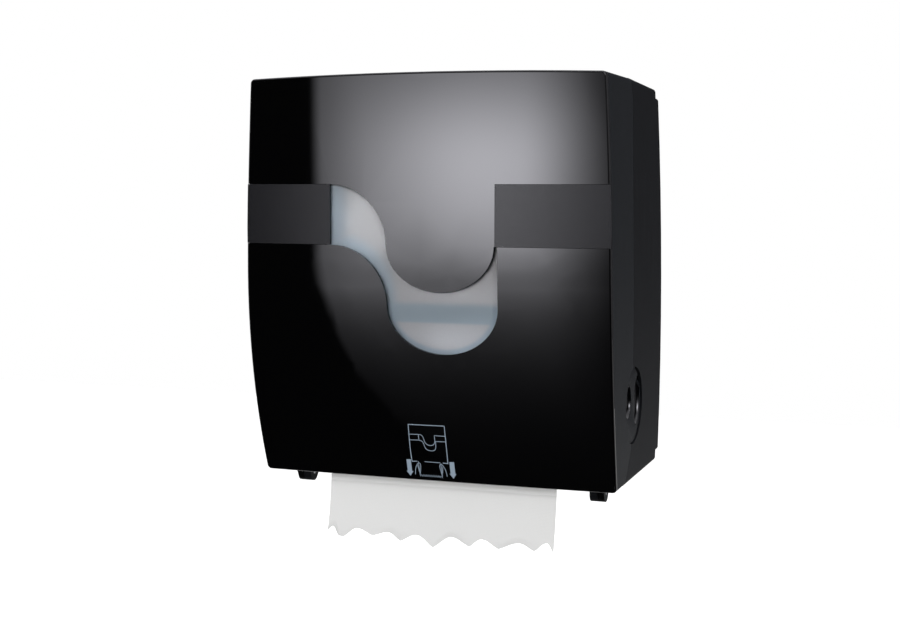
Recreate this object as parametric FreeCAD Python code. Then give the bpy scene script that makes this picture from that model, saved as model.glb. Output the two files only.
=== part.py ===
"""Wall-mounted roll towel dispenser: a hinged front cover over a spring-assisted feed and cutting drum.

Millimetres. X runs across the case, Y away from the user (the wall is at Y = 0) and Z up. Heights in this
file are measured from the case's lower front corners; save() moves them so that the origin is the centre of
the wall screws' pattern. Left and right are the user's.
"""
import FreeCAD, Part
import math
import os

V = FreeCAD.Vector

# Towel roll
roll_width = 214.0
roll_radius = 88.0
core_radius = 20.0
core_wall = 1.4
towel_thick = 0.4
web_gap = 0.3                 # towel to drum and to roll

# Room inside the case round the roll and the drum
side_room = 58.5              # roll's end to the case's widest side
back_room = 25.0              # roll to the wall
front_room = 17.5             # roll to the front's side edges
top_room = 29.0               # roll to the case's upper edge
roll_over_drum = 37.5         # drum to roll
drum_ahead = 10.0             # drum's axis in front of the roll's

# Cutting drum
drum_up = 66.5                # axis above the case's bottom
drum_radius = 44.0
drum_wall = 3.0
drum_spare = 2.0              # drum longer than the towel is wide
drum_end_thick = 4.0
drum_hub_length = 16.0
drum_hub_wall = 3.5
shaft = 12.0
shaft_left_spare = 13.0       # shaft's left end beyond the cheek
grip_width = 26.0
grip_thick = 0.8
grip_spacing = 66.0
slot_high = 9.0               # knife slot, degrees above the rear of the drum
slot_low = 25.0               # and below it
slot_root = 10.0              # its wedge starts this far behind the drum's axis
running = 0.05                # radial running clearance of shafts and pins
gap = 0.4                     # clearance between pieces that move past each other

# Case, outside
front_bow = 2.5               # how far the middle of the front stands forward
front_flat_from = 198.0       # above this height the front is upright
front_arc = 595.0             # radius of the front's tuck-in below that height
widest_height = 119.0
side_arc = 4400.0             # radius of the bulge of the side walls
top_crown = 2.7
corner_round = 4.0
wall = 2.6
screw_mid = 180.0             # height of the wall screws' centre above the case's bottom
sheet_margin = 30.0           # how far the front surface is drawn past the case

# Base
back_wall = 4.0
rim_depth = 13.0              # stepped-in rear rim
rim_step = 8.0
rim_inset = 0.8
base_top_step = 0.3           # base above the cover at the seam's top
base_bottom_step = 0.5        # and below it at the seam's bottom
top_rear_drop = 3.5           # the base's top falls towards the wall
bottom_rear_drop = 3.0
edge_round = 3.5
seam_gap = 0.6
wall_screw_across = 220.0
wall_screw_up = 240.0
wall_screw_hole = 6.0

# Seam between cover and base, seen from the side
cover_depth = 88.5            # front's side edges to the seam at mid height
seam_foot = 23.0              # the seam's lower end, forward of its middle
seam_head = 4.0               # its upper end, behind
seam_swell = 11.0             # and its furthest point behind
seam_swell_drop = 15.0        # which lies this far below the case's upper edge
seam_lean = 3.0               # how far behind it is halfway up to there
seam_lean_height = 268.0
seam_straight_low = 35.0
seam_straight_high = 170.0
seam_bend = 12.5              # height of the bend below the straight stretch
seam_bend_out = 4.6           # and how far forward it takes the seam
seam_low_end = -6.4

# Front panels
panel_thick = 3.2
panel_edge_round = 1.8
groove = 0.5
flange_thick = 2.4
flange_width = 14.0
bar_margin = 8.0              # bars behind the band plates stand this far above and below
part_gap = 0.15               # half the gap between neighbouring front pieces
inlay_recess = 0.3            # band plates and window sit this much behind the glossy panels
window_sheet = 1.6
window_margin = 4.5           # the window's sheet reaches this far under the panels

# Band and window, heights from the case's bottom
band_top = 261.5
band_bottom = 209.3
window_left = -83.5
upper_curve_centre = 209.7
upper_u_half = 48.5
upper_u_depth = 39.7
lower_curve_centre = 157.0
lower_u_half = 49.7
lower_u_depth = 40.5
band_right_step = 0.7         # inner end of the right band plate beyond the upper wave

# Towel slot and hinge feet in the case's bottom
slot_side_room = 5.0
slot_front_room = 10.0
hinge_behind_seam = 5.3
hinge_drop = 8.0
hinge_boss = 8.2
hinge_inset = 25.0            # feet from the case's widest side
foot_gap = 0.4                # ear to lug
ear_thick = 5.8
ear_root = 14.0
ear_tuck = 1.6
lug_thick = 7.0
lug_root = 15.0
foot_low = 0.6                # height of the feet's slanted backs, in boss radii
foot_wide = 0.8
foot_swing_gap = 0.6
hinge_pin = 4.0

# Knife
knife_pivot_out = 12.0        # pivot behind the drum axis
knife_pivot_down = 18.0
knife_tip_inset = 7.1         # knife shorter than the drum's radius
knife_rest_angle = 34.7
carrier_thick = 4.0
carrier_gap = 2.0             # carrier's end to the drum's end disc
carrier_back = 4.0
carrier_lap = 10.0
blade_thick = 1.2
blade_width = 16.0
tooth_pitch = 6.0
tooth_depth = 2.4
journal = 5.0
journal_wall = 1.5
follower_reach = 22.0
follower_angle = 204.2
follower_radius = 4.0
follower_pin = 3.0
cam_arm_thick = 1.8
cam_arm_boss = 3.6
roller_thick = 1.8
roller_side_gap = 0.1
cam_ring_wall = 5.0
cam_ring_gap = 1.0

# Mechanism cheeks
cheek_gap = 5.0               # drum's end to the cheek
cheek_thick = 4.0
cheek_bottom = 6.0
cheek_shoulder = 17.5         # cheek above the drum's top, behind the guard
cheek_flange = 14.0
cheek_flange_low = 14.0
cheek_flange_high = 122.0
cheek_window_rear = 20.0
cheek_window_room = 11.0      # between the drum and the cheek's window
cheek_screw = 4.0
cheek_screw_head = 8.0
cheek_screw_head_thick = 2.8
cheek_screw_low = 30.0
cheek_screw_high = 108.0
cross_deep = 1.2
cross_half = 2.2
cross_wide = 0.8
bush_wall = 4.0
bush_flange = 2.0
bush_flange_wide = 2.5
guard_thick = 2.0

# Pinch roller
pinch_radius = 12.0
pinch_angle = 42.0            # forward of the drum's top
nip_gap = 0.9
pinch_inset = 16.0            # roller shorter than the drum
pinch_shaft_size = 6.0
pinch_shaft_room = 3.5        # round its shaft in the cheek
pinch_arm_thick = 3.0
pinch_arm_gap = 0.5
pinch_pivot_behind = 5.0      # pivot behind the drum's axis
pinch_pivot_over = 9.5        # and above its top
pinch_boss = 6.0
pinch_peg = 4.0
pinch_peg_back = 6.0
pinch_peg_down = 5.0
pinch_hook_down = 8.5         # spring's lower hook below the drum's axis
pinch_coil = 3.0
pinch_wire = 0.8
pinch_spring_out = 7.0

# Hand wheel
wheel_hole_radius = 34.2
wheel_radius = 32.8
wheel_thick = 12.0
wheel_recess = 1.6            # its face lies this far inside the case's side
wheel_cut_depth = 20.0
scoop_radius = 27.0
scoop_depth = 8.5
bar_width = 10.0
bar_tilt = 10.0
wheel_hub = 9.0
wheel_hub_length = 8.0
wheel_cap = 3.0
shaft_cap = 0.6

# Ratchet and pawl
ratchet_gap = 3.0             # cheek to wheel
ratchet_radius = 20.0
ratchet_root = 17.0
ratchet_teeth = 12
ratchet_rake = 2.0            # degrees
ratchet_thick = 5.0
hub_wall = 4.0
ratchet_hub = 4.0
pawl_thick = 4.0
pawl_back = 26.0              # pivot behind the drum's axis
pawl_up = 23.0                # and above it
pawl_boss = 4.0
pawl_tip_gap = 0.9
pawl_lift = 6.0               # degrees from the valley to just clear of the teeth
pawl_pin_radius = 2.0
pawl_pin_head = 3.5
pawl_pin_length = 8.0
leaf_thick = 0.5

# Crank and booster spring
crank_gap = 5.0
crank_radius = 22.0
crank_thick = 4.0
crank_hub = 2.5
crank_pin_reach = 16.0
crank_pin_size = 6.0
crank_pin_length = 10.5
spring_coil = 4.5
spring_wire = 0.9
spring_stand_off = 5.7
spring_eye_gap = 0.3
spring_end = 9.0              # eye's centre to the first turn
spring_post_out = 40.0
spring_post_up = 30.0
spring_foot = 3.0
wheel_to_cover = 5.6          # hand wheel to the gear cover
gear_cover_wall = 2.0
gear_cover_over = 34.5        # gear cover above the drum's axis
gear_cover_under = 49.5       # and below it
gear_cover_ahead = 27.0       # and in front of it
gear_cover_rear = 14.0
gear_cover_round = 6.0

# Roll holders
hub_flange_radius = 27.0
hub_flange_thick = 2.5
plug_reach = 14.0
plug_taper = 1.7
plug_clearance = 0.4
stub_radius = 5.0
stub_short = 2.0
arm_thick = 4.0
arm_gap = 4.5                 # arm's inner face beyond the roll's end
hub_gap = 1.0                 # hub's flange to the arm
arm_height = 44.0
arm_boss = 20.0
arm_pivot_out = 12.0
arm_pivot_side = 6.0          # pivot beyond the arm's inner face
arm_knuckle = 5.0
arm_pin = 5.0
arm_pin_head = 2.0
arm_pin_tail = 13.0
ear_plate = 5.0
ear_radius = 6.0
bracket_plate = 2.0
bracket_side = 14.0
bracket_spare = 8.0
torsion_wire = 1.0
torsion_turns = 10.0          # height of the wound part
torsion_leg = 24.0

# Towel tail
tail_top = 8.0
tail_bottom = -56.0
tail_slant = 7.0              # the torn edge hangs lower on the right
tear_depth = 4.5
tear_waves = 8

# Lock
lock_ahead = 18.0             # lock in front of the seam
lock_body = 10.0
lock_body_gap = 0.05
lock_flange = 13.0
lock_flange_thick = 3.0
lock_length = 17.0
lock_sink = 0.2
rotor_sink = 0.5
rotor_radius = 6.0
rotor_spare = 0.6
key_slot = 1.8
key_slot_long = 8.0
key_slot_deep = 5.5
cam_length = 26.0
cam_width = 10.0
cam_thick = 3.2
lock_screw = 4.0
lock_screw_deep = 6.0
lock_screw_head = 3.6
lock_screw_head_thick = 2.5
strike_near = 14.0
strike_far = 28.0
strike_thick = 3.0
strike_root = 18.0
strike_drop = 19.0
strike_gap = 1.0
strike_below = 1.4            # under the base's top wall
strike_plate = 2.5

roll_out = back_room + roll_radius
roll_up = drum_up + drum_radius + roll_over_drum + roll_radius
drum_out = roll_out + drum_ahead
case_width = roll_width + 2 * side_room
case_height = roll_up + roll_radius + top_room
case_depth = roll_out + roll_radius + front_room
seam_mid = case_depth - cover_depth
seam_bottom = seam_mid + seam_foot
seam_top = seam_mid - seam_head
hinge_out = seam_bottom - hinge_behind_seam
hinge_across = case_width / 2 - hinge_inset
lock_out = seam_mid + lock_ahead
slot_width = roll_width + 2 * slot_side_room
slot_front = drum_out + drum_radius + slot_front_room
drum_length = roll_width + drum_spare
drum_top = drum_up + drum_radius
drum_y = -drum_out
knife_y = drum_y + knife_pivot_out
knife_h = drum_up - knife_pivot_down
knife_reach = drum_radius - knife_tip_inset
carrier_length = drum_length - 2 * (drum_end_thick + carrier_gap)
cheek_inside = drum_length / 2 + cheek_gap
cheek_outside = cheek_inside + cheek_thick
pinch_length = drum_length - pinch_inset
pinch_pivot = (drum_y + pinch_pivot_behind, drum_top + pinch_pivot_over)
pawl_pivot = (drum_y + pawl_back, drum_up + pawl_up)
gear_cover_top = drum_up + gear_cover_over
gear_cover_bottom = drum_up - gear_cover_under
gear_cover_front = drum_out + gear_cover_ahead
upper_wave = band_top - upper_curve_centre
lower_wave = band_bottom - lower_curve_centre
band_right_edge = window_left + upper_wave + 2 * upper_u_half + band_right_step


def box(x0, x1, y0, y1, h0, h1):
    """Block between two corners."""
    return Part.makeBox(x1 - x0, y1 - y0, h1 - h0, V(x0, y0, h0))


def rod(x0, x1, y, h, radius):
    """Cylinder along X."""
    return Part.makeCylinder(radius, x1 - x0, V(x0, y, h), V(1, 0, 0))


def upright(x, y, h0, h1, radius):
    """Cylinder along Z."""
    return Part.makeCylinder(radius, h1 - h0, V(x, y, h0), V(0, 0, 1))


def ring(x0, x1, y, h, outer, inner):
    """Tube along X."""
    return rod(x0, x1, y, h, outer).cut(rod(x0 - 1, x1 + 1, y, h, inner))


def line(start, end):
    """Straight edge between two points."""
    return Part.LineSegment(start, end).toShape()


def arc(start, middle, end):
    """Circular edge through three points."""
    return Part.Arc(start, middle, end).toShape()


def slab(points, x0, x1):
    """Closed outline of (y, height) points, extruded across the case."""
    wire = Part.makePolygon([V(x0, y, h) for y, h in points + points[:1]])
    return Part.Face(wire).extrude(V(x1 - x0, 0, 0))


def mirrored(shape):
    """The same piece on the other side of the case."""
    return shape.mirror(V(0, 0, 0), V(1, 0, 0))


def save(name, *solids):
    """Writes one sub-part, with the origin at the centre of the wall screws' pattern."""
    shape = solids[0] if len(solids) == 1 else Part.makeCompound(list(solids))
    placed = shape.copy()
    placed.translate(V(0, 0, -screw_mid))
    placed.exportStep("parts/" + name + ".step")
    counts = str(len(placed.Solids)) + " solids"
    print(name, counts, "valid" if placed.isValid() else "NOT VALID", round(placed.Volume))


def half_width(height):
    """Half the case's width at a height, on the bulging side walls."""
    return case_width / 2 - (height - widest_height) ** 2 / (2 * side_arc)


def front_y(x, height):
    """Y of the case's front surface."""
    tuck = 0.0
    if height < front_flat_from:
        tuck = front_arc - math.sqrt(front_arc ** 2 - (front_flat_from - height) ** 2)
    return -case_depth + tuck - front_bow * (1 - (2 * x / case_width) ** 2)


def outline(y, inset, bottom, top):
    """Closed outline of the case in a plane of constant Y, set in from the outside."""
    low = bottom + inset
    high = top - inset
    corner = max(corner_round - inset, 1.0)
    diagonal = corner * (1 - math.sqrt(0.5))
    low_side = half_width(low + corner) - inset
    high_side = half_width(high - corner) - inset
    widest = half_width(widest_height) - inset
    bottom_right = V(low_side - corner, y, low)
    side_low = V(low_side, y, low + corner)
    side_high = V(high_side, y, high - corner)
    top_right = V(high_side - corner, y, high)

    def flip(p):
        return V(-p.x, p.y, p.z)

    low_mid = V(low_side - diagonal, y, low + diagonal)
    high_mid = V(high_side - diagonal, y, high - diagonal)
    side_mid = V(widest, y, widest_height)
    return Part.Wire([
        line(flip(bottom_right), bottom_right),
        arc(bottom_right, low_mid, side_low),
        arc(side_low, side_mid, side_high),
        arc(side_high, high_mid, top_right),
        arc(top_right, V(0, y, high + top_crown), flip(top_right)),
        arc(flip(top_right), flip(high_mid), flip(side_high)),
        arc(flip(side_high), flip(side_mid), flip(side_low)),
        arc(flip(side_low), flip(low_mid), flip(bottom_right)),
    ])


def prism(y0, y1, inset, bottom, top):
    """The case's outline as a straight block."""
    return Part.Face(outline(y0, inset, bottom, top)).extrude(V(0, y1 - y0, 0))


def make_front_sheet():
    """The bowed front surface, larger than the case all round."""
    reach = case_width / 2 + sheet_margin
    rise = (case_height + 2 * sheet_margin) / 12
    across = [reach * (i / 4.0 - 1.0) for i in range(9)]
    heights = [i * rise - sheet_margin for i in range(13)]
    rows = [[V(x, front_y(x, h), h) for x in across] for h in heights]
    sheet = Part.BSplineSurface()
    sheet.interpolate(rows)
    return sheet.toShape()


front_sheet = make_front_sheet()


def behind_front(depth):
    """Everything more than a depth behind the front surface."""
    sheet = front_sheet.copy()
    sheet.translate(V(0, depth, 0))
    return sheet.extrude(V(0, case_depth * 1.3, 0))


def ahead_of_seam():
    """Everything in front of the seam's line in the side view."""
    reach = case_width
    above = case_height + seam_swell_drop
    low = V(-reach, -seam_bottom - 5.0, seam_low_end)
    slope_end = V(-reach, -seam_mid - seam_bend_out, seam_straight_low - seam_bend)
    bend = V(-reach, -seam_mid - 0.28 * seam_bend_out, seam_straight_low - 0.56 * seam_bend)
    mid_low = V(-reach, -seam_mid, seam_straight_low)
    mid_high = V(-reach, -seam_mid, seam_straight_high)
    lean = V(-reach, -seam_mid + seam_lean, seam_lean_height)
    swell = V(-reach, -seam_mid + seam_swell, case_height - seam_swell_drop)
    top = V(-reach, -seam_top - 3.4, above)
    far_top = V(-reach, -2 * case_depth, above)
    far_low = V(-reach, -2 * case_depth, seam_low_end)
    face = Part.Face(Part.Wire([
        line(low, slope_end),
        arc(slope_end, bend, mid_low),
        line(mid_low, mid_high),
        arc(mid_high, lean, swell),
        line(swell, top),
        line(top, far_top),
        line(far_top, far_low),
        line(far_low, low),
    ]))
    return face.extrude(V(2 * reach, 0, 0))


seam_block = ahead_of_seam()


def wave(centre, radius, half, depth, offset):
    """Edges of one wave line: a quarter circle, then a half ellipse, moved sideways by an offset."""
    bend = radius + offset
    start = V(window_left, 0, centre + bend)
    middle = V(window_left + bend * math.sqrt(0.5), 0, centre + bend * math.sqrt(0.5))
    end = V(window_left + bend, 0, centre)
    u_half = half - offset
    u_depth = depth - offset
    u_centre = V(window_left + radius + half, 0, centre)
    ellipse = Part.Ellipse(u_centre + V(u_half, 0, 0), u_centre + V(0, 0, u_depth), u_centre)
    if ellipse.Axis.y > 0:
        curve = Part.ArcOfEllipse(ellipse, 0, math.pi)
    else:
        curve = Part.ArcOfEllipse(ellipse, math.pi, 2 * math.pi)
    bowl = curve.toShape()
    tip = V(u_centre.x + u_half, 0, centre)
    return arc(start, middle, end), bowl, start, tip


def window_area(offset):
    """The window's wave shape as a block along Y, grown by an offset."""
    upper = wave(upper_curve_centre, upper_wave, upper_u_half, upper_u_depth, offset)
    lower = wave(lower_curve_centre, lower_wave, lower_u_half, lower_u_depth, -offset)
    left = V(window_left - offset, 0, 0)
    tip_height = band_bottom + offset
    upper_tip = V(upper[3].x, 0, tip_height)
    lower_tip = V(lower[3].x, 0, tip_height)
    upper_start = V(left.x, 0, upper[2].z)
    lower_start = V(left.x, 0, lower[2].z)
    edges = [upper[0], upper[1], lower[0], lower[1]]
    if offset != 0:
        edges += [line(upper_start, upper[2]), line(lower_start, lower[2])]
    edges += [line(upper_start, lower_start)]
    if abs(tip_height - upper[3].z) > 1e-6:
        edges += [line(upper[3], upper_tip)]
    edges += [line(upper_tip, lower_tip), line(lower_tip, lower[3])]
    face = Part.Face(Part.Wire(Part.__sortEdges__(edges)))
    face.translate(V(0, -2 * case_depth, 0))
    return face.extrude(V(0, 2 * case_depth, 0))


def front_layer(outer, inner):
    """The part of the cover's outline between two depths behind the front."""
    block = prism(-case_depth - 2 * front_bow, -seam_bottom, 0, 0, case_height)
    return block.common(behind_front(outer)).cut(behind_front(inner))


def band_area(side, inner_end, offset):
    """Block that a band plate fills, from its inner end out past the case's side."""
    reach = case_width
    x0, x1 = sorted((inner_end - side * offset, side * reach))
    return box(x0, x1, -2 * case_depth, 0, band_bottom - offset, band_top + offset)


def cover_pieces():
    """Frame, glossy panels, band plates and window of the front cover."""
    layer = front_layer(0, panel_thick)
    rims = [e for e in layer.Edges if on_front_rim(e)]
    layer = layer.makeFillet(panel_edge_round, rims)
    left_band = band_area(-1, window_left, part_gap)
    right_band = band_area(1, band_right_edge, part_gap)
    panels = layer.cut(window_area(part_gap)).cut(left_band).cut(right_band)
    solids = sorted(panels.Solids, key=lambda s: s.CenterOfMass.z)
    lower = solids[0]
    upper = solids[-1]
    plate = front_layer(inlay_recess, panel_thick)
    trim = half_width(band_bottom) - inlay_recess
    plate = plate.common(box(-trim, trim, -2 * case_depth, 0, 0, case_height))
    window = plate.common(window_area(-part_gap))
    window_right = window_left + lower_wave + 2 * lower_u_half
    sheet_area = box(window_left - window_margin, window_right + window_margin, -2 * case_depth, 0,
                     lower_curve_centre - lower_u_depth - window_margin, band_top + window_margin)
    sheet = front_layer(panel_thick, panel_thick + window_sheet).common(sheet_area)
    window = window.fuse(sheet)
    left = plate.common(band_area(-1, window_left, -part_gap))
    right = plate.common(band_area(1, band_right_edge, -part_gap))
    right = right.cut(window_area(part_gap))
    frame = cover_frame(sheet_area)
    return frame, upper, lower, left, right, window


def on_front_rim(edge):
    """True for the outer edges of the front panel's face."""
    middle = edge.valueAt((edge.FirstParameter + edge.LastParameter) / 2)
    near = abs(middle.y - front_y(middle.x, middle.z)) < 0.3
    side = abs(middle.x) > half_width(middle.z) - corner_round - 0.5
    end = middle.z < 0.5 or middle.z > case_height - corner_round
    return near and (side or end)


def cover_frame(sheet_area):
    """Matte moulding: outer walls, and a flange behind the panels with a bar behind each band plate."""
    depth = panel_thick + groove
    walls = prism(-case_depth - 2 * front_bow, -seam_top + 2 * seam_swell, 0, 0, case_height)
    walls = walls.common(behind_front(depth)).common(seam_block)
    walls = walls.cut(prism(-2 * case_depth, 0, wall, 0, case_height))
    flange = prism(-case_depth - 2 * front_bow, -seam_bottom, wall / 2, 0, case_height)
    flange = flange.common(behind_front(panel_thick)).cut(behind_front(panel_thick + flange_thick))
    opening = prism(-2 * case_depth, 0, flange_width, 0, case_height)
    bar_low = band_bottom - bar_margin
    bar_high = band_top + bar_margin
    sheet_box = sheet_area.BoundBox
    opening = opening.cut(box(-case_width, sheet_box.XMin, -2 * case_depth, 0, bar_low, bar_high))
    opening = opening.cut(box(sheet_box.XMax, case_width, -2 * case_depth, 0, bar_low, bar_high))
    flange = flange.cut(opening)
    frame = walls.fuse(flange)
    frame = frame.cut(box(-slot_width / 2, slot_width / 2, -slot_front, 0, -wall, 2 * wall))
    frame = frame.cut(rod(case_width / 2 - wheel_cut_depth, case_width, drum_y, drum_up, wheel_hole_radius))
    above = case_height + 2 * top_crown
    frame = frame.cut(upright(0, -lock_out, case_height - lock_length, above, lock_body))
    for side in (1, -1):
        frame = frame.fuse(hinge_ear(side))
    return frame.removeSplitter()


def side_span(side, near, far):
    """X range from near to far on one side of the case."""
    return sorted((side * near, side * far))


def hinge_ear(side):
    """The cover's half of a hinge foot."""
    x0, x1 = side_span(side, hinge_across + foot_gap / 2, hinge_across + foot_gap / 2 + ear_thick)
    boss = rod(x0, x1, -hinge_out, -hinge_drop, hinge_boss)
    low = -hinge_drop - foot_low * hinge_boss
    neck = slab([(-hinge_out - ear_root, wall / 2), (-seam_bottom - ear_tuck, wall / 2),
                 (-hinge_out, -hinge_drop), (-hinge_out - foot_wide * hinge_boss, low)], x0, x1)
    ear = boss.fuse(neck)
    return ear.cut(rod(x0 - 1, x1 + 1, -hinge_out, -hinge_drop, hinge_pin / 2 + running))


def hinge_lug(side):
    """The base's half of a hinge foot."""
    x0, x1 = side_span(side, hinge_across - foot_gap / 2 - lug_thick, hinge_across - foot_gap / 2)
    boss = rod(x0, x1, -hinge_out, -hinge_drop, hinge_boss)
    low = -hinge_drop - foot_low * hinge_boss
    neck = slab([(-hinge_out + 2.0, 0.5), (-hinge_out + 2.0 + lug_root, 0.5),
                 (-hinge_out + foot_wide * hinge_boss, low), (-hinge_out, -hinge_drop)], x0, x1)
    lug = boss.fuse(neck)
    return lug.cut(rod(x0 - 1, x1 + 1, -hinge_out, -hinge_drop, hinge_pin / 2))


def rear_base():
    """The case's rear half: side walls, back wall with wall-screw holes, hinge lugs and the lock's strike."""
    front = -seam_bottom - seam_foot
    step = -rim_depth

    def top_at(y):
        return case_height + base_top_step - top_rear_drop * (y + seam_top) / (seam_top - rim_depth)

    def bottom_at(y):
        fall = (bottom_rear_drop - base_bottom_step) * (y + seam_bottom) / (seam_bottom - rim_depth)
        return -base_bottom_step - fall

    def taper(stations):
        wires = [outline(y, inset, bottom_at(y), top_at(y)) for y, inset in stations]
        return Part.makeLoft(wires, True, True)

    stations = [(front, 0)]
    for turn in (0.0, 30.0, 60.0, 90.0):
        angle = math.radians(turn)
        stations.append((step - edge_round * (1 - math.sin(angle)), edge_round * (1 - math.cos(angle))))
    body = taper(stations)
    rim_bottom = bottom_at(step) + rim_step
    rim_top = top_at(step) - rim_step
    body = body.fuse(prism(step - 1.0, 0, rim_inset, rim_bottom - rim_inset, rim_top + rim_inset))
    body = body.cut(taper([(front - 1.0, wall), (step - wall, wall)]))
    body = body.cut(prism(step - wall - 1.0, -back_wall, wall + rim_inset, rim_bottom, rim_top))
    seam = seam_block.copy()
    seam.translate(V(0, seam_gap, 0))
    body = body.cut(seam)
    body = body.cut(rod(case_width / 2 - wheel_cut_depth, case_width, drum_y, drum_up, wheel_hole_radius))
    ear_start = hinge_across + foot_gap / 2
    for side in (1, -1):
        x0, x1 = side_span(side, ear_start - gap, ear_start + ear_thick + gap)
        body = body.cut(rod(x0, x1, -hinge_out, -hinge_drop, hinge_boss + foot_swing_gap))
        body = body.fuse(hinge_lug(side))
    body = body.fuse(strike())
    for x in (-wall_screw_across / 2, wall_screw_across / 2):
        for h in (screw_mid - wall_screw_up / 2, screw_mid + wall_screw_up / 2):
            hole = Part.makeCylinder(wall_screw_hole / 2, 4 * back_wall, V(x, -2 * back_wall, h), V(0, 1, 0))
            body = body.cut(hole)
    for screw in cheek_screws(0):
        body = body.cut(screw)
    return body.removeSplitter()


def strike():
    """Inverted L under the base's top wall that the lock cam turns behind."""
    top = case_height - wall - strike_below
    reach = lock_out + cam_width / 2 + strike_gap
    front = -seam_mid + seam_swell + seam_gap + gap
    rear = front + strike_root
    tongue = box(strike_near, strike_far, -reach - strike_thick, rear, top - strike_plate, top)
    root = box(strike_near, strike_far, front, rear, top - strike_plate / 2, case_height + base_top_step)
    low = top - strike_drop
    drop = box(strike_near, strike_far, -reach - strike_thick, -reach, low, top - strike_plate / 2)
    return tongue.fuse(root).fuse(drop)


drum_front = drum_y - drum_radius
guard_line = [
    (drum_front - 11.0, 8.0),
    (drum_front - 17.5, drum_up - 21.5),
    (drum_front - 19.0, drum_top - 5.5),
    (drum_front - 13.0, drum_top + 17.5),
    (drum_front + 1.0, drum_top + 27.5),
    (drum_front + 17.0, drum_top + 29.5),
]


def shifted(points, distance):
    """A line of (y, height) points moved sideways, to the right of its direction."""
    moved = []
    last = len(points) - 1
    for i, (y, h) in enumerate(points):
        y0, h0 = points[max(i - 1, 0)]
        y1, h1 = points[min(i + 1, last)]
        length = math.hypot(y1 - y0, h1 - h0)
        moved.append((y + distance * (h1 - h0) / length, h - distance * (y1 - y0) / length))
    return moved


def curve_through(points, x):
    """Smooth edge through (y, height) points."""
    curve = Part.BSplineCurve()
    curve.interpolate([V(x, y, h) for y, h in points])
    return curve.toShape()


def drum_guard():
    """Curved guard in front of the drum, between the cheeks."""
    x = -cheek_inside
    inner = shifted(guard_line, guard_thick)
    ends = [line(V(x, *guard_line[0]), V(x, *inner[0])), line(V(x, *guard_line[-1]), V(x, *inner[-1]))]
    edges = [curve_through(guard_line, x), curve_through(inner, x)] + ends
    return Part.Face(Part.Wire(Part.__sortEdges__(edges))).extrude(V(2 * cheek_inside, 0, 0))


def lower_chute():
    """Sloping guide behind the towel, between the cheeks."""
    low = cheek_bottom + 0.5
    high = drum_up - drum_radius + 7.5
    points = [(drum_front + 9.0, low), (drum_front + 2.5, high), (drum_front + 4.5, high + 0.5),
              (drum_front + 13.0, low)]
    return slab(points, -cheek_inside, cheek_inside)


def pinch_axis():
    """Y and height of the pinch roller's axis."""
    reach = drum_radius + nip_gap + pinch_radius
    turn = math.radians(pinch_angle)
    return drum_y - reach * math.sin(turn), drum_up + reach * math.cos(turn)


def cross_slot(x, y0, y1, h, half_x, half_h):
    """One bar of a cross recess."""
    return box(x - half_x, x + half_x, y0, y1, h - half_h, h + half_h)


def cheek_screws(head):
    """Screws of both cheeks, with heads of a given radius, or plain shanks when it is 0."""
    screws = []
    seat = -back_wall - cheek_thick
    for side in (1, -1):
        x = side * (cheek_outside + cheek_flange / 2)
        for h in (cheek_screw_low, cheek_screw_high):
            shank = Part.makeCylinder(cheek_screw / 2, cheek_thick + 3.0, V(x, seat, h), V(0, 1, 0))
            if head:
                cap = Part.makeCylinder(head, cheek_screw_head_thick, V(x, seat, h), V(0, -1, 0))
                floor = seat - cheek_screw_head_thick + cross_deep
                top = seat - 2 * cheek_screw_head_thick
                cross = cross_slot(x, top, floor, h, cross_wide / 2, cross_half)
                cross = cross.fuse(cross_slot(x, top, floor, h, cross_half, cross_wide / 2))
                shank = shank.fuse(cap).cut(cross)
            screws.append(shank)
    return screws


def cheek():
    """Right mechanism cheek, with its flange on the back wall, pinch pivot stud and spring post."""
    x0 = cheek_inside
    x1 = cheek_outside
    sill = rim_step - bottom_rear_drop + wall + rim_inset + gap
    notch = rim_depth + wall + 1.0
    shoulder = drum_top + cheek_shoulder
    points = [(-back_wall, sill), (-notch, sill), (-notch, cheek_bottom), (-slot_front + 1.0, cheek_bottom)]
    points += guard_line + [(drum_y + 3.0, shoulder), (-back_wall, shoulder)]
    plate = slab(points, x0, x1)
    front = -back_wall - cheek_thick
    flange = box(x1, x1 + cheek_flange, front, -back_wall, cheek_flange_low, cheek_flange_high)
    plate = plate.fuse(flange)
    plate = plate.cut(rod(x0 - 1, x1 + 1, drum_y, drum_up, shaft / 2 + bush_wall))
    pinch_y, pinch_h = pinch_axis()
    plate = plate.cut(rod(x0 - 1, x1 + 1, pinch_y, pinch_h, pinch_shaft_size / 2 + pinch_shaft_room))
    near = drum_y + drum_radius + cheek_window_room
    rear = -cheek_window_rear
    plate = plate.cut(slab([(rear, cheek_screw_low - 2.0), (near + 6.0, cheek_screw_low - 2.0),
                            (near, drum_up - 6.5), (near + 6.0, drum_top - 6.5), (rear, drum_top - 0.5)],
                           x0 - 1, x1 + 1))
    stud_end = x1 + pinch_arm_thick + 4 * pinch_arm_gap
    stud = rod(x1, stud_end, pinch_pivot[0], pinch_pivot[1], pinch_shaft_size / 2)
    hook = rod(x1, x1 + pinch_spring_out + pinch_coil, pinch_y - pinch_peg_back, drum_up - pinch_hook_down,
               pinch_peg / 2)
    plate = plate.fuse(stud).fuse(hook)
    for screw in cheek_screws(0):
        plate = plate.cut(screw)
    return plate.removeSplitter()


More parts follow.
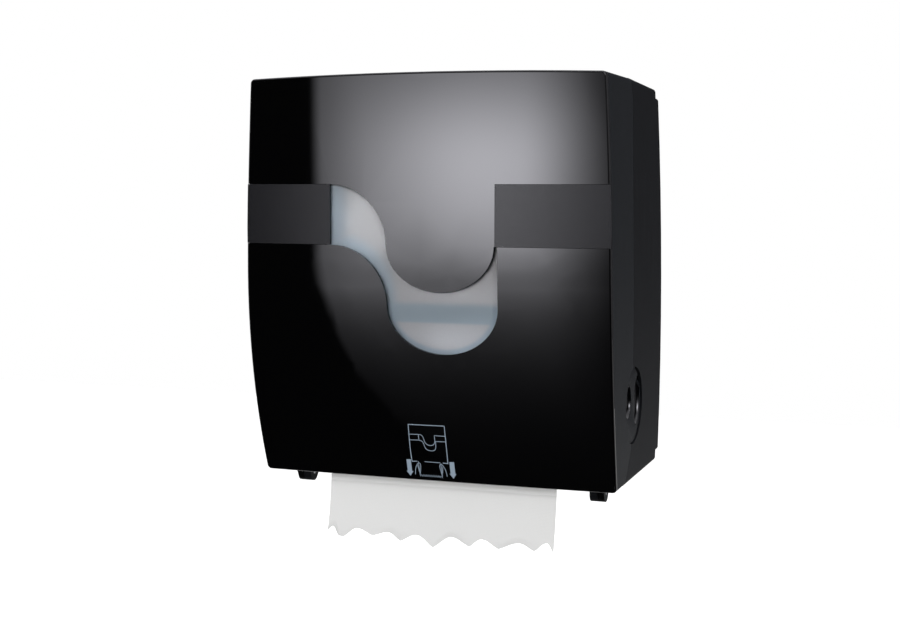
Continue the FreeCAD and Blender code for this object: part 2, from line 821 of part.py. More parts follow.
def bush():
    """Right shaft bush, flanged on the inside of the cheek."""
    outer = shaft / 2 + bush_wall
    sleeve = rod(cheek_inside - bush_flange / 2, cheek_outside + 1.0, drum_y, drum_up, outer)
    flange = rod(cheek_inside - bush_flange, cheek_inside, drum_y, drum_up, outer + bush_flange_wide)
    hole = rod(cheek_inside - 2 * bush_flange, cheek_outside + 2.0, drum_y, drum_up, shaft / 2 + running)
    return sleeve.fuse(flange).cut(hole)


def follower_axis():
    """Y and height of the cam roller's axis at rest."""
    turn = math.radians(follower_angle)
    return knife_y + follower_reach * math.cos(turn), knife_h + follower_reach * math.sin(turn)


def cam_ring():
    """Round track on the right cheek that the cam roller runs inside."""
    y, h = follower_axis()
    inner = math.hypot(y - drum_y, h - drum_up) + follower_radius + 0.3
    return ring(drum_length / 2 + cam_ring_gap, cheek_inside, drum_y, drum_up, inner + cam_ring_wall, inner)


def knife_slot(reach, margin):
    """Wedge that the knife swings through, along the drum."""
    low = math.radians(-slot_low - margin)
    high = math.radians(slot_high + margin)
    points = [(drum_y + slot_root, drum_up)]
    reach_out = 1.3 * drum_radius
    for turn in (low, 0.0, high):
        points.append((drum_y + reach_out * math.cos(turn), drum_up + reach_out * math.sin(turn)))
    return slab(points, -reach, reach)


def drum_shell():
    """Feed drum's wall, with the knife slot and a shallow groove under each grip band."""
    half = drum_length / 2
    shell = ring(-half, half, drum_y, drum_up, drum_radius, drum_radius - drum_wall)
    for centre in grip_centres():
        x0 = centre - grip_width / 2
        x1 = centre + grip_width / 2
        shell = shell.cut(ring(x0, x1, drum_y, drum_up, drum_radius + 1.0, drum_radius - grip_thick))
    return shell.cut(knife_slot(half - drum_end_thick, 0))


def grip_centres():
    """Places of the grip bands along the drum."""
    return [i * grip_spacing for i in (-1, 0, 1)]


def grip_bands():
    """Rubber bands in the drum's grooves, open at the knife slot."""
    bands = []
    for centre in grip_centres():
        x0 = centre - grip_width / 2
        x1 = centre + grip_width / 2
        band = ring(x0, x1, drum_y, drum_up, drum_radius, drum_radius - grip_thick)
        bands.append(band.cut(knife_slot(drum_length, 2.0)))
    return bands


def drum_end():
    """Right end disc of the drum, bored for the shaft and the knife's journal."""
    half = drum_length / 2
    disc = rod(half - drum_end_thick, half, drum_y, drum_up, drum_radius - drum_wall)
    hub = rod(half - drum_hub_length, half, drum_y, drum_up, shaft / 2 + drum_hub_wall)
    disc = disc.fuse(hub).cut(rod(0, 2 * half, drum_y, drum_up, shaft / 2))
    return disc.cut(rod(0, 2 * half, knife_y, knife_h, journal / 2 + running))


def along_knife(distance, offset):
    """Point at a distance from the knife pivot towards the blade's edge, with a sideways offset."""
    turn = math.radians(knife_rest_angle)
    y = knife_y + distance * math.cos(turn) - offset * math.sin(turn)
    return y, knife_h + distance * math.sin(turn) + offset * math.cos(turn)


def knife_carrier():
    """Bar that swings inside the drum and holds the blade, with a journal at each end."""
    half = carrier_length / 2
    front = blade_thick / 2
    root = knife_reach - blade_width
    end = root + carrier_lap
    bar = slab([along_knife(-carrier_back, front), along_knife(end, front),
                along_knife(end, front + carrier_thick), along_knife(-carrier_back, front + carrier_thick)],
               -half, half)
    bar = bar.fuse(rod(-half, half, knife_y, knife_h, journal / 2 + journal_wall))
    journal_reach = drum_length / 2 + gap + cam_arm_thick
    below = -journal
    past = end + 2.0
    bar = bar.cut(slab([along_knife(root, below), along_knife(past, below), along_knife(past, front),
                        along_knife(root, front)], -half - 1, half + 1))
    return bar.fuse(rod(-journal_reach, journal_reach, knife_y, knife_h, journal / 2))


def knife_blade():
    """Serrated blade on the carrier's lower face."""
    half = carrier_length / 2
    root = knife_reach - blade_width
    front = blade_thick / 2
    corners = [along_knife(root, -front), along_knife(knife_reach, -front), along_knife(knife_reach, front)]
    blade = slab(corners + [along_knife(root, front)], -half, half)
    teeth = int(carrier_length / tooth_pitch)
    turn = math.radians(knife_rest_angle)
    along = V(0, math.cos(turn), math.sin(turn))
    across = V(0, -math.sin(turn), math.cos(turn))
    start = V(-half, knife_y, knife_h) + along * knife_reach - across * 2.0
    notches = []
    for i in range(teeth):
        base = start + V(i * tooth_pitch, 0, 0)
        corners = [base, base + V(tooth_pitch / 2, 0, 0) - along * tooth_depth, base + V(tooth_pitch, 0, 0)]
        corners = [c + along * 0.01 for c in corners]
        face = Part.Face(Part.makePolygon([corners[0], corners[1], corners[2], corners[0]]))
        notches.append(face.extrude(across * 4.0))
    return blade.cut(Part.makeCompound(notches))


def link(p, q, radius, x0, x1):
    """Flat lever between two (y, height) centres with a round boss at each."""
    dy = q[0] - p[0]
    dh = q[1] - p[1]
    length = math.hypot(dy, dh)
    ny = -dh / length * radius
    nh = dy / length * radius
    near = [(p[0] - ny, p[1] - nh), (p[0] + ny, p[1] + nh)]
    far = [(q[0] + ny, q[1] + nh), (q[0] - ny, q[1] - nh)]
    bar = slab(near + far, x0, x1)
    return bar.fuse(rod(x0, x1, p[0], p[1], radius)).fuse(rod(x0, x1, q[0], q[1], radius))


def cam_arm():
    """Right cam arm on the knife's journal, with the roller's pin."""
    x0 = drum_length / 2 + gap
    x1 = x0 + cam_arm_thick
    pivot = (knife_y, knife_h)
    end = follower_axis()
    arm = link(pivot, end, cam_arm_boss, x0, x1)
    arm = arm.cut(rod(x0 - 1, x1 + 1, pivot[0], pivot[1], journal / 2))
    pin = rod(x0, x1 + roller_thick + 3 * roller_side_gap, end[0], end[1], follower_pin / 2)
    return arm.fuse(pin).removeSplitter()


def cam_roller():
    """Right cam roller."""
    x0 = drum_length / 2 + gap + cam_arm_thick + roller_side_gap
    y, h = follower_axis()
    return ring(x0, x0 + roller_thick, y, h, follower_radius, follower_pin / 2 + running)


def ratchet_wheel():
    """Saw-toothed wheel on the shaft that stops the drum turning back."""
    x0 = cheek_outside + ratchet_gap
    points = []
    for i in range(ratchet_teeth):
        turn = 2 * math.pi * i / ratchet_teeth
        for radius, extra in ((ratchet_root, 0.0), (ratchet_radius, math.radians(ratchet_rake))):
            at = turn + extra
            points.append((drum_y + radius * math.cos(at), drum_up + radius * math.sin(at)))
    wheel = slab(points, x0, x0 + ratchet_thick)
    x1 = x0 + ratchet_thick + ratchet_hub
    wheel = wheel.fuse(rod(x0, x1, drum_y, drum_up, shaft / 2 + hub_wall))
    return wheel.cut(rod(x0 - 1, x1 + 1, drum_y, drum_up, shaft / 2))


def pawl():
    """Pawl, drawn in the ratchet's top valley and lifted just clear of the teeth."""
    x0 = cheek_outside + ratchet_gap + (ratchet_thick - pawl_thick) / 2
    x1 = x0 + pawl_thick
    y, h = pawl_pivot
    tip_y = drum_y + gap
    tip_h = drum_up + ratchet_root + pawl_tip_gap
    points = [(tip_y, tip_h), (tip_y + 4.6, tip_h + 0.9), (y, h - 0.85 * pawl_boss), (y, h + pawl_boss),
              (tip_y + 9.6, tip_h + 8.0), (tip_y, tip_h + 3.4)]
    body = slab(points, x0, x1).fuse(rod(x0, x1, y, h, pawl_boss))
    body = body.cut(rod(x0 - 1, x1 + 1, y, h, pawl_pin_radius + running))
    body.rotate(V(0, y, h), V(-1, 0, 0), pawl_lift)
    return body


def pawl_pin():
    """Pin of the pawl, seated on the right cheek."""
    y, h = pawl_pivot
    x1 = cheek_outside + pawl_pin_length
    shank = rod(cheek_outside, x1 + 1.0, y, h, pawl_pin_radius)
    return shank.fuse(rod(x1, x1 + 1.5, y, h, pawl_pin_head))


def pawl_spring():
    """Leaf that presses the pawl down, held in a post on the right cheek."""
    x0 = cheek_outside
    y, h = pawl_pivot
    top = gear_cover_top - gear_cover_wall - gap
    post = box(x0, x0 + pawl_pin_length, y + 13.0, y + 17.0, h + 1.0, top)
    high = h + pawl_boss + 2.6
    low = high - 1.3
    root = y + 13.5
    tip = y - 12.0
    points = [(root, high), (tip, low), (tip, low - leaf_thick), (root, high - leaf_thick)]
    leaf = slab(points, x0 + pawl_thick, x0 + pawl_thick + 3.0)
    return post.fuse(leaf)


def crank_axis():
    """Y and height of the crank pin, on the line from the shaft to the spring post."""
    dy = drum_out - spring_post_out
    dh = spring_post_up - drum_up
    length = math.hypot(dy, dh)
    return drum_y + crank_pin_reach * dy / length, drum_up + crank_pin_reach * dh / length


def crank_disc():
    """Disc on the shaft's left end with the spring's crank pin."""
    x1 = -cheek_outside - crank_gap
    x0 = x1 - crank_thick
    y, h = crank_axis()
    disc = rod(x0, x1, drum_y, drum_up, crank_radius)
    disc = disc.fuse(rod(x0, x1 + crank_hub, drum_y, drum_up, shaft / 2 + hub_wall))
    disc = disc.cut(rod(x0 - 1, -cheek_outside, drum_y, drum_up, shaft / 2))
    return disc.fuse(rod(x0 - crank_pin_length, x0, y, h, crank_pin_size / 2))


def booster_spring():
    """Extension spring from the crank pin to its post on the left cheek, as its outer form with two eyes."""
    x_mid = -cheek_outside - crank_gap - crank_thick - spring_stand_off
    crank = crank_axis()
    post = (-spring_post_out, spring_post_up)
    length = math.hypot(post[0] - crank[0], post[1] - crank[1])
    direction = V(0, (post[0] - crank[0]) / length, (post[1] - crank[1]) / length)
    start = V(x_mid, crank[0], crank[1])
    eye = crank_pin_size / 2 + spring_eye_gap
    coil = Part.makeCylinder(spring_coil, length - 2 * spring_end, start + direction * spring_end, direction)
    inner = Part.makeCylinder(spring_coil - spring_wire, length, start, direction)
    body = coil.cut(inner)
    shapes = []
    for centre, toward in ((crank, 1), (post, -1)):
        shapes.append(ring(x_mid - spring_wire / 2, x_mid + spring_wire / 2, centre[0], centre[1],
                           eye + spring_wire, eye))
        base = V(x_mid, centre[0], centre[1]) + direction * (toward * (eye + spring_wire / 2))
        tail = Part.makeCylinder(spring_wire / 2, spring_end - eye, base, direction * toward)
        disc_start = V(x_mid, centre[0], centre[1]) + direction * (toward * (spring_end - spring_wire / 2))
        cap = Part.makeCylinder(spring_coil - spring_wire / 4, spring_wire, disc_start, direction * toward)
        shapes += [tail, cap]
    return body.multiFuse(shapes).removeSplitter()


def left_cheek():
    """Left cheek: the right one mirrored, with the booster spring's post."""
    plate = mirrored(cheek())
    x1 = -cheek_outside
    reach = crank_gap + crank_thick + crank_pin_length
    post = rod(x1 - reach, x1, -spring_post_out, spring_post_up, crank_pin_size / 2)
    foot = box(x1 - spring_foot, x1, -spring_post_out - 26.0, -spring_post_out + 16.0, spring_post_up - 8.0,
               spring_post_up + 8.0)
    return plate.fuse(foot).fuse(post).removeSplitter()


def gear_cover(side):
    """Cover over the gear outside one cheek."""
    near = cheek_outside
    far = wheel_face() - wheel_thick - wheel_to_cover
    t = gear_cover_wall
    x0, x1 = side_span(side, near, far)
    body = box(x0, x1, -gear_cover_front, -gear_cover_rear, gear_cover_bottom, gear_cover_top)
    corners = [e for e in body.Edges if abs(e.Vertexes[0].X - e.Vertexes[1].X) > 1.0]
    body = body.makeFillet(gear_cover_round, corners)
    x0, x1 = side_span(side, near - 1.0, far - t)
    front = -gear_cover_front + t
    hollow = box(x0, x1, front, -gear_cover_rear - t, gear_cover_bottom + t, gear_cover_top - t)
    body = body.cut(hollow)
    if side > 0:
        body = body.cut(rod(near, far + 1.0, drum_y, drum_up, wheel_hub + 1.0))
    return body


def wheel_face():
    """X of the hand wheel's outer face."""
    return half_width(drum_up) - wheel_recess


def shaft_end():
    """X of the shaft's right end, inside the hand wheel's hub."""
    return wheel_face() - wheel_cap - shaft_cap


def drum_shaft():
    """Steel shaft through the drum, from the crank to the hand wheel."""
    return rod(-cheek_outside - shaft_left_spare, shaft_end(), drum_y, drum_up, shaft / 2)


def hand_wheel():
    """Side wheel: two finger scoops either side of a slightly tilted bar."""
    face = wheel_face()
    disc = rod(face - wheel_thick, face, drum_y, drum_up, wheel_radius)
    scoop = rod(face - scoop_depth, face + 1.0, drum_y, drum_up, scoop_radius)
    bar = box(face - scoop_depth, face + 1.0, drum_y - bar_width / 2, drum_y + bar_width / 2,
              drum_up - wheel_radius, drum_up + wheel_radius)
    bar.rotate(V(0, drum_y, drum_up), V(1, 0, 0), bar_tilt)
    wheel = disc.cut(scoop.cut(bar))
    inner = face - wheel_thick - wheel_hub_length
    wheel = wheel.fuse(rod(inner, face - wheel_cap, drum_y, drum_up, wheel_hub))
    return wheel.cut(rod(inner - 1.0, shaft_end(), drum_y, drum_up, shaft / 2))


def pinch_arm():
    """Right arm of the pinch roller."""
    x0 = cheek_outside + pinch_arm_gap
    x1 = x0 + pinch_arm_thick
    roller = pinch_axis()
    arm = link(pinch_pivot, roller, pinch_boss, x0, x1)
    arm = arm.cut(rod(x0 - 1, x1 + 1, pinch_pivot[0], pinch_pivot[1], pinch_shaft_size / 2 + running))
    arm = arm.cut(rod(x0 - 1, x1 + 1, roller[0], roller[1], pinch_shaft_size / 2))
    peg = rod(x0, cheek_outside + pinch_spring_out + pinch_coil - 0.5, roller[0] - pinch_peg_back,
              roller[1] - pinch_peg_down, pinch_peg / 2)
    return arm.fuse(peg).removeSplitter()


def pinch_roller():
    """Roller that presses the towel on the drum."""
    y, h = pinch_axis()
    half = pinch_length / 2
    return ring(-half, half, y, h, pinch_radius, pinch_shaft_size / 2 + running)


def pinch_shaft():
    """Fixed shaft of the pinch roller, carried by both arms."""
    y, h = pinch_axis()
    reach = cheek_outside + pinch_arm_thick + 2 * pinch_arm_gap
    return rod(-reach, reach, y, h, pinch_shaft_size / 2)


def pinch_spring():
    """Extension spring from the pinch arm's peg to the cheek's hook, as its outer form."""
    y, h = pinch_axis()
    x = cheek_outside + pinch_spring_out
    low = drum_up - pinch_hook_down
    high = h - pinch_peg_down
    y -= pinch_peg_back
    eye = pinch_peg / 2 + spring_eye_gap
    end = eye + 2 * pinch_wire
    hollow = upright(x, y, low + end - 1.0, high - end + 1.0, pinch_coil - pinch_wire)
    half = pinch_wire / 2
    across = pinch_coil - half
    shapes = []
    for centre, toward in ((low, 1), (high, -1)):
        shapes.append(ring(x - half, x + half, y, centre, eye + pinch_wire, eye))
        bar = sorted((centre + toward * end, centre + toward * (end + pinch_wire)))
        shapes.append(box(x - across, x + across, y - half, y + half, bar[0], bar[1]))
        stem = sorted((centre + toward * (eye + half), centre + toward * (end + half)))
        shapes.append(box(x - half, x + half, y - half, y + half, stem[0], stem[1]))
    return upright(x, y, low + end, high - end, pinch_coil).cut(hollow).multiFuse(shapes).removeSplitter()


def arm_bracket():
    """Right bracket on the back wall that carries a roll arm."""
    x = arm_pivot_x()
    low = roll_up - arm_height / 2 - gap
    high = roll_up + arm_height / 2 + gap
    plate = box(x - ear_radius, x + bracket_side, -back_wall - bracket_plate, -back_wall, low - bracket_spare,
                high + bracket_spare)
    ears = []
    for h0, h1 in ((low - ear_plate, low), (high, high + ear_plate)):
        ears.append(box(x - ear_radius, x + ear_radius, -arm_pivot_out, -back_wall, h0, h1))
        ears.append(upright(x, -arm_pivot_out, h0, h1, ear_radius))
    return plate.multiFuse(ears).cut(upright(x, -arm_pivot_out, 0, case_height, arm_pin / 2)).removeSplitter()


def arm_pivot_x():
    """X of the right roll arm's hinge."""
    return roll_width / 2 + arm_gap + arm_pivot_side


def arm_pin_solid():
    """Right roll arm's hinge pin, headed at the top and long enough below for the spring."""
    x = arm_pivot_x()
    high = roll_up + arm_height / 2 + gap + ear_plate
    low = roll_up - arm_height / 2 - gap - ear_plate
    pin = upright(x, -arm_pivot_out, low - arm_pin_tail, high + arm_pin_head, arm_pin / 2)
    return pin.fuse(upright(x, -arm_pivot_out, high, high + arm_pin_head, 0.8 * arm_pin))


def arm_spring():
    """Torsion spring under the right bracket, as its outer form with two legs."""
    x = arm_pivot_x()
    y = -arm_pivot_out
    high = roll_up - arm_height / 2 - gap - ear_plate - torsion_wire
    low = high - torsion_turns
    inner = arm_pin / 2 + 0.2
    outer = inner + torsion_wire + 0.3
    coil = upright(x, y, low, high, outer).cut(upright(x, y, low - 1.0, high + 1.0, inner))
    leg = box(x + outer - torsion_wire, x + outer, y, -back_wall, low, low + torsion_wire)
    reach = box(x - outer, x - outer + torsion_wire, y - torsion_leg, y, high - torsion_wire, high)
    return coil.fuse(leg).fuse(reach)


def roll_arm():
    """Right roll arm with its stub axle."""
    x0 = roll_width / 2 + arm_gap
    x1 = x0 + arm_thick
    half = arm_height / 2
    x = arm_pivot_x()
    points = [(-arm_pivot_out, roll_up - half), (-roll_out, roll_up - arm_boss)]
    points += [(-roll_out, roll_up + arm_boss), (-arm_pivot_out, roll_up + half)]
    plate = slab(points, x0, x1)
    plate = plate.fuse(rod(x0, x1, -roll_out, roll_up, arm_boss))
    knuckle = upright(x, -arm_pivot_out, roll_up - half, roll_up + half, arm_knuckle)
    web = box(x0, x, -arm_pivot_out - arm_knuckle, -arm_pivot_out, roll_up - half, roll_up + half)
    stub = rod(x0 - hub_gap - hub_flange_thick - plug_reach + stub_short, x0, -roll_out, roll_up, stub_radius)
    arm = plate.multiFuse([knuckle, web, stub])
    return arm.cut(upright(x, -arm_pivot_out, 0, case_height, arm_pin / 2 + running)).removeSplitter()


def roll_hub():
    """Right hub that plugs into the core and turns on the arm's stub."""
    x1 = roll_width / 2 + arm_gap - hub_gap
    x0 = x1 - hub_flange_thick
    mouth = core_radius - core_wall - plug_clearance
    flange = rod(x0, x1, -roll_out, roll_up, hub_flange_radius)
    plug = Part.makeCone(mouth, mouth - plug_taper, plug_reach, V(x0, -roll_out, roll_up), V(-1, 0, 0))
    hub = flange.fuse(plug)
    return hub.cut(rod(0, x1 + 1, -roll_out, roll_up, stub_radius + running))


def web_line(drum_gap):
    """Line of the towel from the roll over the drum at a gap from the drum, as its edges' points."""
    radius = drum_radius + drum_gap
    far = roll_radius + 2 * web_gap + towel_thick - drum_gap
    dy = drum_out - roll_out
    dh = roll_up - drum_up
    span = math.hypot(dy, dh)
    turn = math.acos((radius + far) / span) - math.atan2(dy, dh)
    leave = V(0, drum_y - radius * math.sin(turn), drum_up + radius * math.cos(turn))
    roll = V(0, -roll_out + far * math.sin(turn), roll_up - far * math.cos(turn))
    half_turn = (turn + math.pi / 2) / 2
    middle = V(0, drum_y - radius * math.sin(half_turn), drum_up + radius * math.cos(half_turn))
    front = V(0, drum_y - radius, drum_up)
    return roll, leave, middle, front, V(0, front.y, tail_top + gap)


def paper_web():
    """The towel from the roll, over the drum and down towards the slot."""
    inner = web_line(web_gap)
    outer = web_line(web_gap + towel_thick)
    face = Part.Face(Part.Wire([
        line(inner[0], inner[1]),
        arc(inner[1], inner[2], inner[3]),
        line(inner[3], inner[4]),
        line(inner[4], outer[4]),
        line(outer[4], outer[3]),
        arc(outer[3], outer[2], outer[1]),
        line(outer[1], outer[0]),
        line(outer[0], inner[0]),
    ]))
    face.translate(V(-roll_width / 2, 0, 0))
    return face.extrude(V(roll_width, 0, 0))


def towel_tail():
    """The free end of the towel, with its torn lower edge."""
    y = drum_front - web_gap - towel_thick
    half = roll_width / 2
    pitch = roll_width / tear_waves
    corner = V(-half, y, tail_top)
    edges = [line(V(half, y, tail_top), corner)]
    place = corner
    for i in range(2 * tear_waves + 1):
        x = -half + i * pitch / 2
        swing = tear_depth / 2 if i % 2 else -tear_depth / 2
        height = tail_bottom + swing - tail_slant * (x / roll_width)
        edges.append(line(place, V(x, y, height)))
        place = V(x, y, height)
    edges.append(line(place, V(half, y, tail_top)))
    return Part.Face(Part.Wire(edges)).extrude(V(0, towel_thick, 0))


def lock_housing():
    """Lock body in the cover's top wall, with a flange under the wall."""
    top = case_height + top_crown - lock_sink
    seat = case_height + top_crown - wall - 0.3
    body = upright(0, -lock_out, top - lock_length, top, lock_body - lock_body_gap)
    body = body.fuse(upright(0, -lock_out, seat - lock_flange_thick, seat, lock_flange))
    return body.cut(upright(0, -lock_out, top - 2 * lock_length, top + 1.0, rotor_radius + running))


def rotor_foot():
    """Height of the rotor's lower end, where the cam is screwed on."""
    return case_height + top_crown - rotor_sink - lock_length - rotor_spare


def lock_rotor():
    """Key rotor with its key slot."""
    top = case_height + top_crown - rotor_sink
    rotor = upright(0, -lock_out, rotor_foot(), top, rotor_radius)
    wide = key_slot / 2
    long = key_slot_long / 2
    rotor = rotor.cut(box(-wide, wide, -lock_out - long, -lock_out + long, top - key_slot_deep, top + 1.0))
    bore_top = rotor_foot() + lock_screw_deep + 0.5
    return rotor.cut(upright(0, -lock_out, rotor_foot() - 1.0, bore_top, lock_screw / 2))


def lock_cam():
    """Cam under the rotor, parked towards the rear when the lock is open."""
    high = rotor_foot()
    half = cam_width / 2
    plate = box(-half, half, -lock_out - half, -lock_out + cam_length, high - cam_thick, high)
    corners = [e for e in plate.Edges if abs(e.Vertexes[0].Z - e.Vertexes[1].Z) > 1.0]
    plate = plate.makeFillet(0.98 * half, corners)
    return plate.cut(upright(0, -lock_out, 0, high + 1.0, lock_screw / 2))


def lock_screw_solid():
    """Screw that holds the cam on the rotor."""
    high = rotor_foot() - cam_thick
    low = high - lock_screw_head_thick
    shank = upright(0, -lock_out, high, rotor_foot() + lock_screw_deep, lock_screw / 2)
    head = upright(0, -lock_out, low, high, lock_screw_head)
    slot = box(-0.5, 0.5, -lock_out - lock_screw, -lock_out + lock_screw, low - 0.1, low + 1.1)
    return shank.fuse(head).cut(slot)


os.makedirs("parts", exist_ok=True)

frame, upper, lower, left, right, window = cover_pieces()
save("cover_frame", frame)
save("upper_panel", upper)
save("lower_panel", lower)
save("band_left", left)
save("band_right", right)
save("window", window)
save("lock_housing", lock_housing())
save("lock_rotor", lock_rotor())
save("lock_cam", lock_cam())
save("lock_screw", lock_screw_solid())

save("rear_base", rear_base())
pin_start = hinge_across - foot_gap / 2 - lug_thick
pin_end = hinge_across + foot_gap / 2 + ear_thick
right_pin = rod(pin_start, pin_end, -hinge_out, -hinge_drop, hinge_pin / 2)
save("hinge_pins", right_pin, mirrored(right_pin))

save("side_frame_right", cheek())
save("side_frame_left", left_cheek())
save("frame_screws", *cheek_screws(cheek_screw_head / 2))
save("drum_guard", drum_guard())
save("lower_chute", lower_chute())
save("spring_cover", gear_cover(-1))
save("drive_cover", gear_cover(1))

save("drum_shell", drum_shell())
save("grip_bands", *grip_bands())
save("drum_shaft", drum_shaft())
save("hand_wheel", hand_wheel())
save("ratchet_wheel", ratchet_wheel())
save("crank_disc", crank_disc())
save("booster_spring", booster_spring())
save("pawl", pawl())
save("pawl_pin", pawl_pin())
save("pawl_spring", pawl_spring())
save("knife_carrier", knife_carrier())
save("knife_blade", knife_blade())
save("pinch_roller", pinch_roller())
save("pinch_shaft", pinch_shaft())

paired = {
    "drum_end": drum_end(),
    "bush": bush(),
    "cam_ring": cam_ring(),
    "cam_arm": cam_arm(),
    "cam_roller": cam_roller(),
    "pinch_arm": pinch_arm(),
    "pinch_spring": pinch_spring(),
    "arm_bracket": arm_bracket(),
    "arm_spring": arm_spring(),
    "roll_arm": roll_arm(),
    "roll_hub": roll_hub(),
}
for name, shape in paired.items():
    save(name + "_right", shape)
    save(name + "_left", mirrored(shape))
save("arm_pins", arm_pin_solid(), mirrored(arm_pin_solid()))

half_roll = roll_width / 2
save("paper_roll", ring(-half_roll, half_roll, -roll_out, roll_up, roll_radius, core_radius))
save("roll_core", ring(-half_roll, half_roll, -roll_out, roll_up, core_radius, core_radius - core_wall))
save("paper_web", paper_web())
save("towel_tail", towel_tail())
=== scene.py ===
import bpy
import bmesh
import math
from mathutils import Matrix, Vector, noise


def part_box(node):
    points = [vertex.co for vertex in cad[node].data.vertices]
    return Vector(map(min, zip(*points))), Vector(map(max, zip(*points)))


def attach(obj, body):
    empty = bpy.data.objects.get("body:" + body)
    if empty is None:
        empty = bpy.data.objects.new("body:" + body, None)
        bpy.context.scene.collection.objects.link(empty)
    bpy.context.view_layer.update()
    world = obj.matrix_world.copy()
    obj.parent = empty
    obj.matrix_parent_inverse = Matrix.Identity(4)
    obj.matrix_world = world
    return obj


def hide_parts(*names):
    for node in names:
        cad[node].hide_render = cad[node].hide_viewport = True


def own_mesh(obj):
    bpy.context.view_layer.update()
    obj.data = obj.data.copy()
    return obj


# Wall-mounted roll towel dispenser: the moulded case with its glossy front, the towel, and the
# mechanism inside. The model's frame is in metres, with the wall at Y = 0, the user towards -Y
# and Z up.

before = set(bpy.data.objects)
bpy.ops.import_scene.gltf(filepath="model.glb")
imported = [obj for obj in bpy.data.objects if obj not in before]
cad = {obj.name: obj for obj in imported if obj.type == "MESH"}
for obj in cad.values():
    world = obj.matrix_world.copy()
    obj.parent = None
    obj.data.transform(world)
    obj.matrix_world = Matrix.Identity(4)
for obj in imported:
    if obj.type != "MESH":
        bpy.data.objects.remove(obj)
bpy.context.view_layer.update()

MM = 0.001
CASE_BOTTOM = -0.18

# Lengths in millimetres; a depth is counted from the wall, and a height from the case's underside.
CASE_WIDTH = 331.0
FRONT_DEPTH = 218.5
FRONT_CROWN = 2.5
TUCK_HEIGHT = 198.0
TUCK_RADIUS = 595.0
PAPER_WIDTH = 214.0
PAPER_THICKNESS = 0.4
OUTLET_DEPTH = 167.5
DRUM_DEPTH = 123.0
DRUM_HEIGHT = 66.5
DRUM_PAPER_RADIUS = 44.5
ROLL_HEIGHT = 236.0
ROLL_RADIUS = 88.0
CORE_RADIUS = 20.05


def height_z(height):
    """Z in metres of a height in millimetres."""
    return CASE_BOTTOM + height * MM


# Points in metres: the middle of the towel roll, and that of the hand wheel's outer face.
ROLL = (0.0, -0.113, height_z(ROLL_HEIGHT))
WHEEL = Vector((0.1636, -0.123, height_z(DRUM_HEIGHT)))


# Shader groups

def new_group(name, inputs, outputs):
    """A shader group whose named inputs, with their defaults, and named outputs are numbers."""
    tree = bpy.data.node_groups.new(name, "ShaderNodeTree")
    for label, value in inputs.items():
        socket = tree.interface.new_socket(name=label, in_out="INPUT",
                                           socket_type="NodeSocketFloat")
        socket.default_value = value
    for label in outputs:
        tree.interface.new_socket(name=label, in_out="OUTPUT", socket_type="NodeSocketFloat")
    return tree, tree.nodes.new("NodeGroupInput"), tree.nodes.new("NodeGroupOutput")


def add(tree, kind, **settings):
    """A node of a kind, with its settings."""
    node = tree.nodes.new(kind)
    for key, value in settings.items():
        setattr(node, key, value)
    return node


def set_inputs(node, **values):
    """Sets a node's inputs; an underscore stands for a space in an input's name."""
    for key, value in values.items():
        node.inputs[key.replace("_", " ")].default_value = value


def wire(tree, start, end):
    """Feeds an input from a socket, or sets it to a number or a colour."""
    if isinstance(start, (int, float, tuple)):
        end.default_value = start
    else:
        tree.links.new(start, end)


def maths(tree, operation, *values, clamp=False):
    """A Math node fed by sockets or numbers."""
    node = add(tree, "ShaderNodeMath", operation=operation, use_clamp=clamp)
    for value, socket in zip(values, node.inputs):
        wire(tree, value, socket)
    return node.outputs[0]


def plus(tree, a, b):
    return maths(tree, "ADD", a, b)


def minus(tree, a, b):
    return maths(tree, "SUBTRACT", a, b)


def times(tree, a, b, clamp=False):
    return maths(tree, "MULTIPLY", a, b, clamp=clamp)


def over(tree, a, b):
    return maths(tree, "DIVIDE", a, b)


def larger(tree, a, b):
    return maths(tree, "MAXIMUM", a, b)


def spread(tree, value, low, high, start=0.0, end=1.0, smooth=True):
    """Maps a value from low..high to start..end."""
    kind = "SMOOTHSTEP" if smooth else "LINEAR"
    node = add(tree, "ShaderNodeMapRange", interpolation_type=kind)
    for number, socket in zip((value, low, high, start, end), node.inputs):
        wire(tree, number, socket)
    return node.outputs[0]


def tint(tree, mask, a, b):
    """Mixes two colours (sockets or tuples) by a mask."""
    node = add(tree, "ShaderNodeMix", data_type="RGBA")
    for value, socket in ((mask, node.inputs[0]), (a, node.inputs[6]), (b, node.inputs[7])):
        wire(tree, value, socket)
    return node.outputs[2]


def coordinates(tree, kind="Object"):
    return add(tree, "ShaderNodeTexCoord").outputs[kind]


def mapped(tree, scale=(1, 1, 1), location=(0, 0, 0)):
    """Object coordinates, scaled and moved."""
    mapping = add(tree, "ShaderNodeMapping")
    set_inputs(mapping, Scale=scale, Location=location)
    wire(tree, coordinates(tree), mapping.inputs["Vector"])
    return mapping.outputs["Vector"]


def axes(tree, vector):
    """The X, Y and Z of a vector."""
    split = add(tree, "ShaderNodeSeparateXYZ")
    wire(tree, vector, split.inputs[0])
    return split.outputs


def noise_field(tree, vector, scale, detail=2.0, rough=0.5):
    """A cloudy field from 0 to 1."""
    node = add(tree, "ShaderNodeTexNoise")
    set_inputs(node, Detail=detail, Roughness=rough)
    wire(tree, scale, node.inputs["Scale"])
    wire(tree, vector, node.inputs["Vector"])
    return node.outputs["Fac"]


def cell_field(tree, vector, scale):
    """The distance to the nearest of many scattered points."""
    node = add(tree, "ShaderNodeTexVoronoi")
    wire(tree, scale, node.inputs["Scale"])
    wire(tree, vector, node.inputs["Vector"])
    return node.outputs["Distance"]


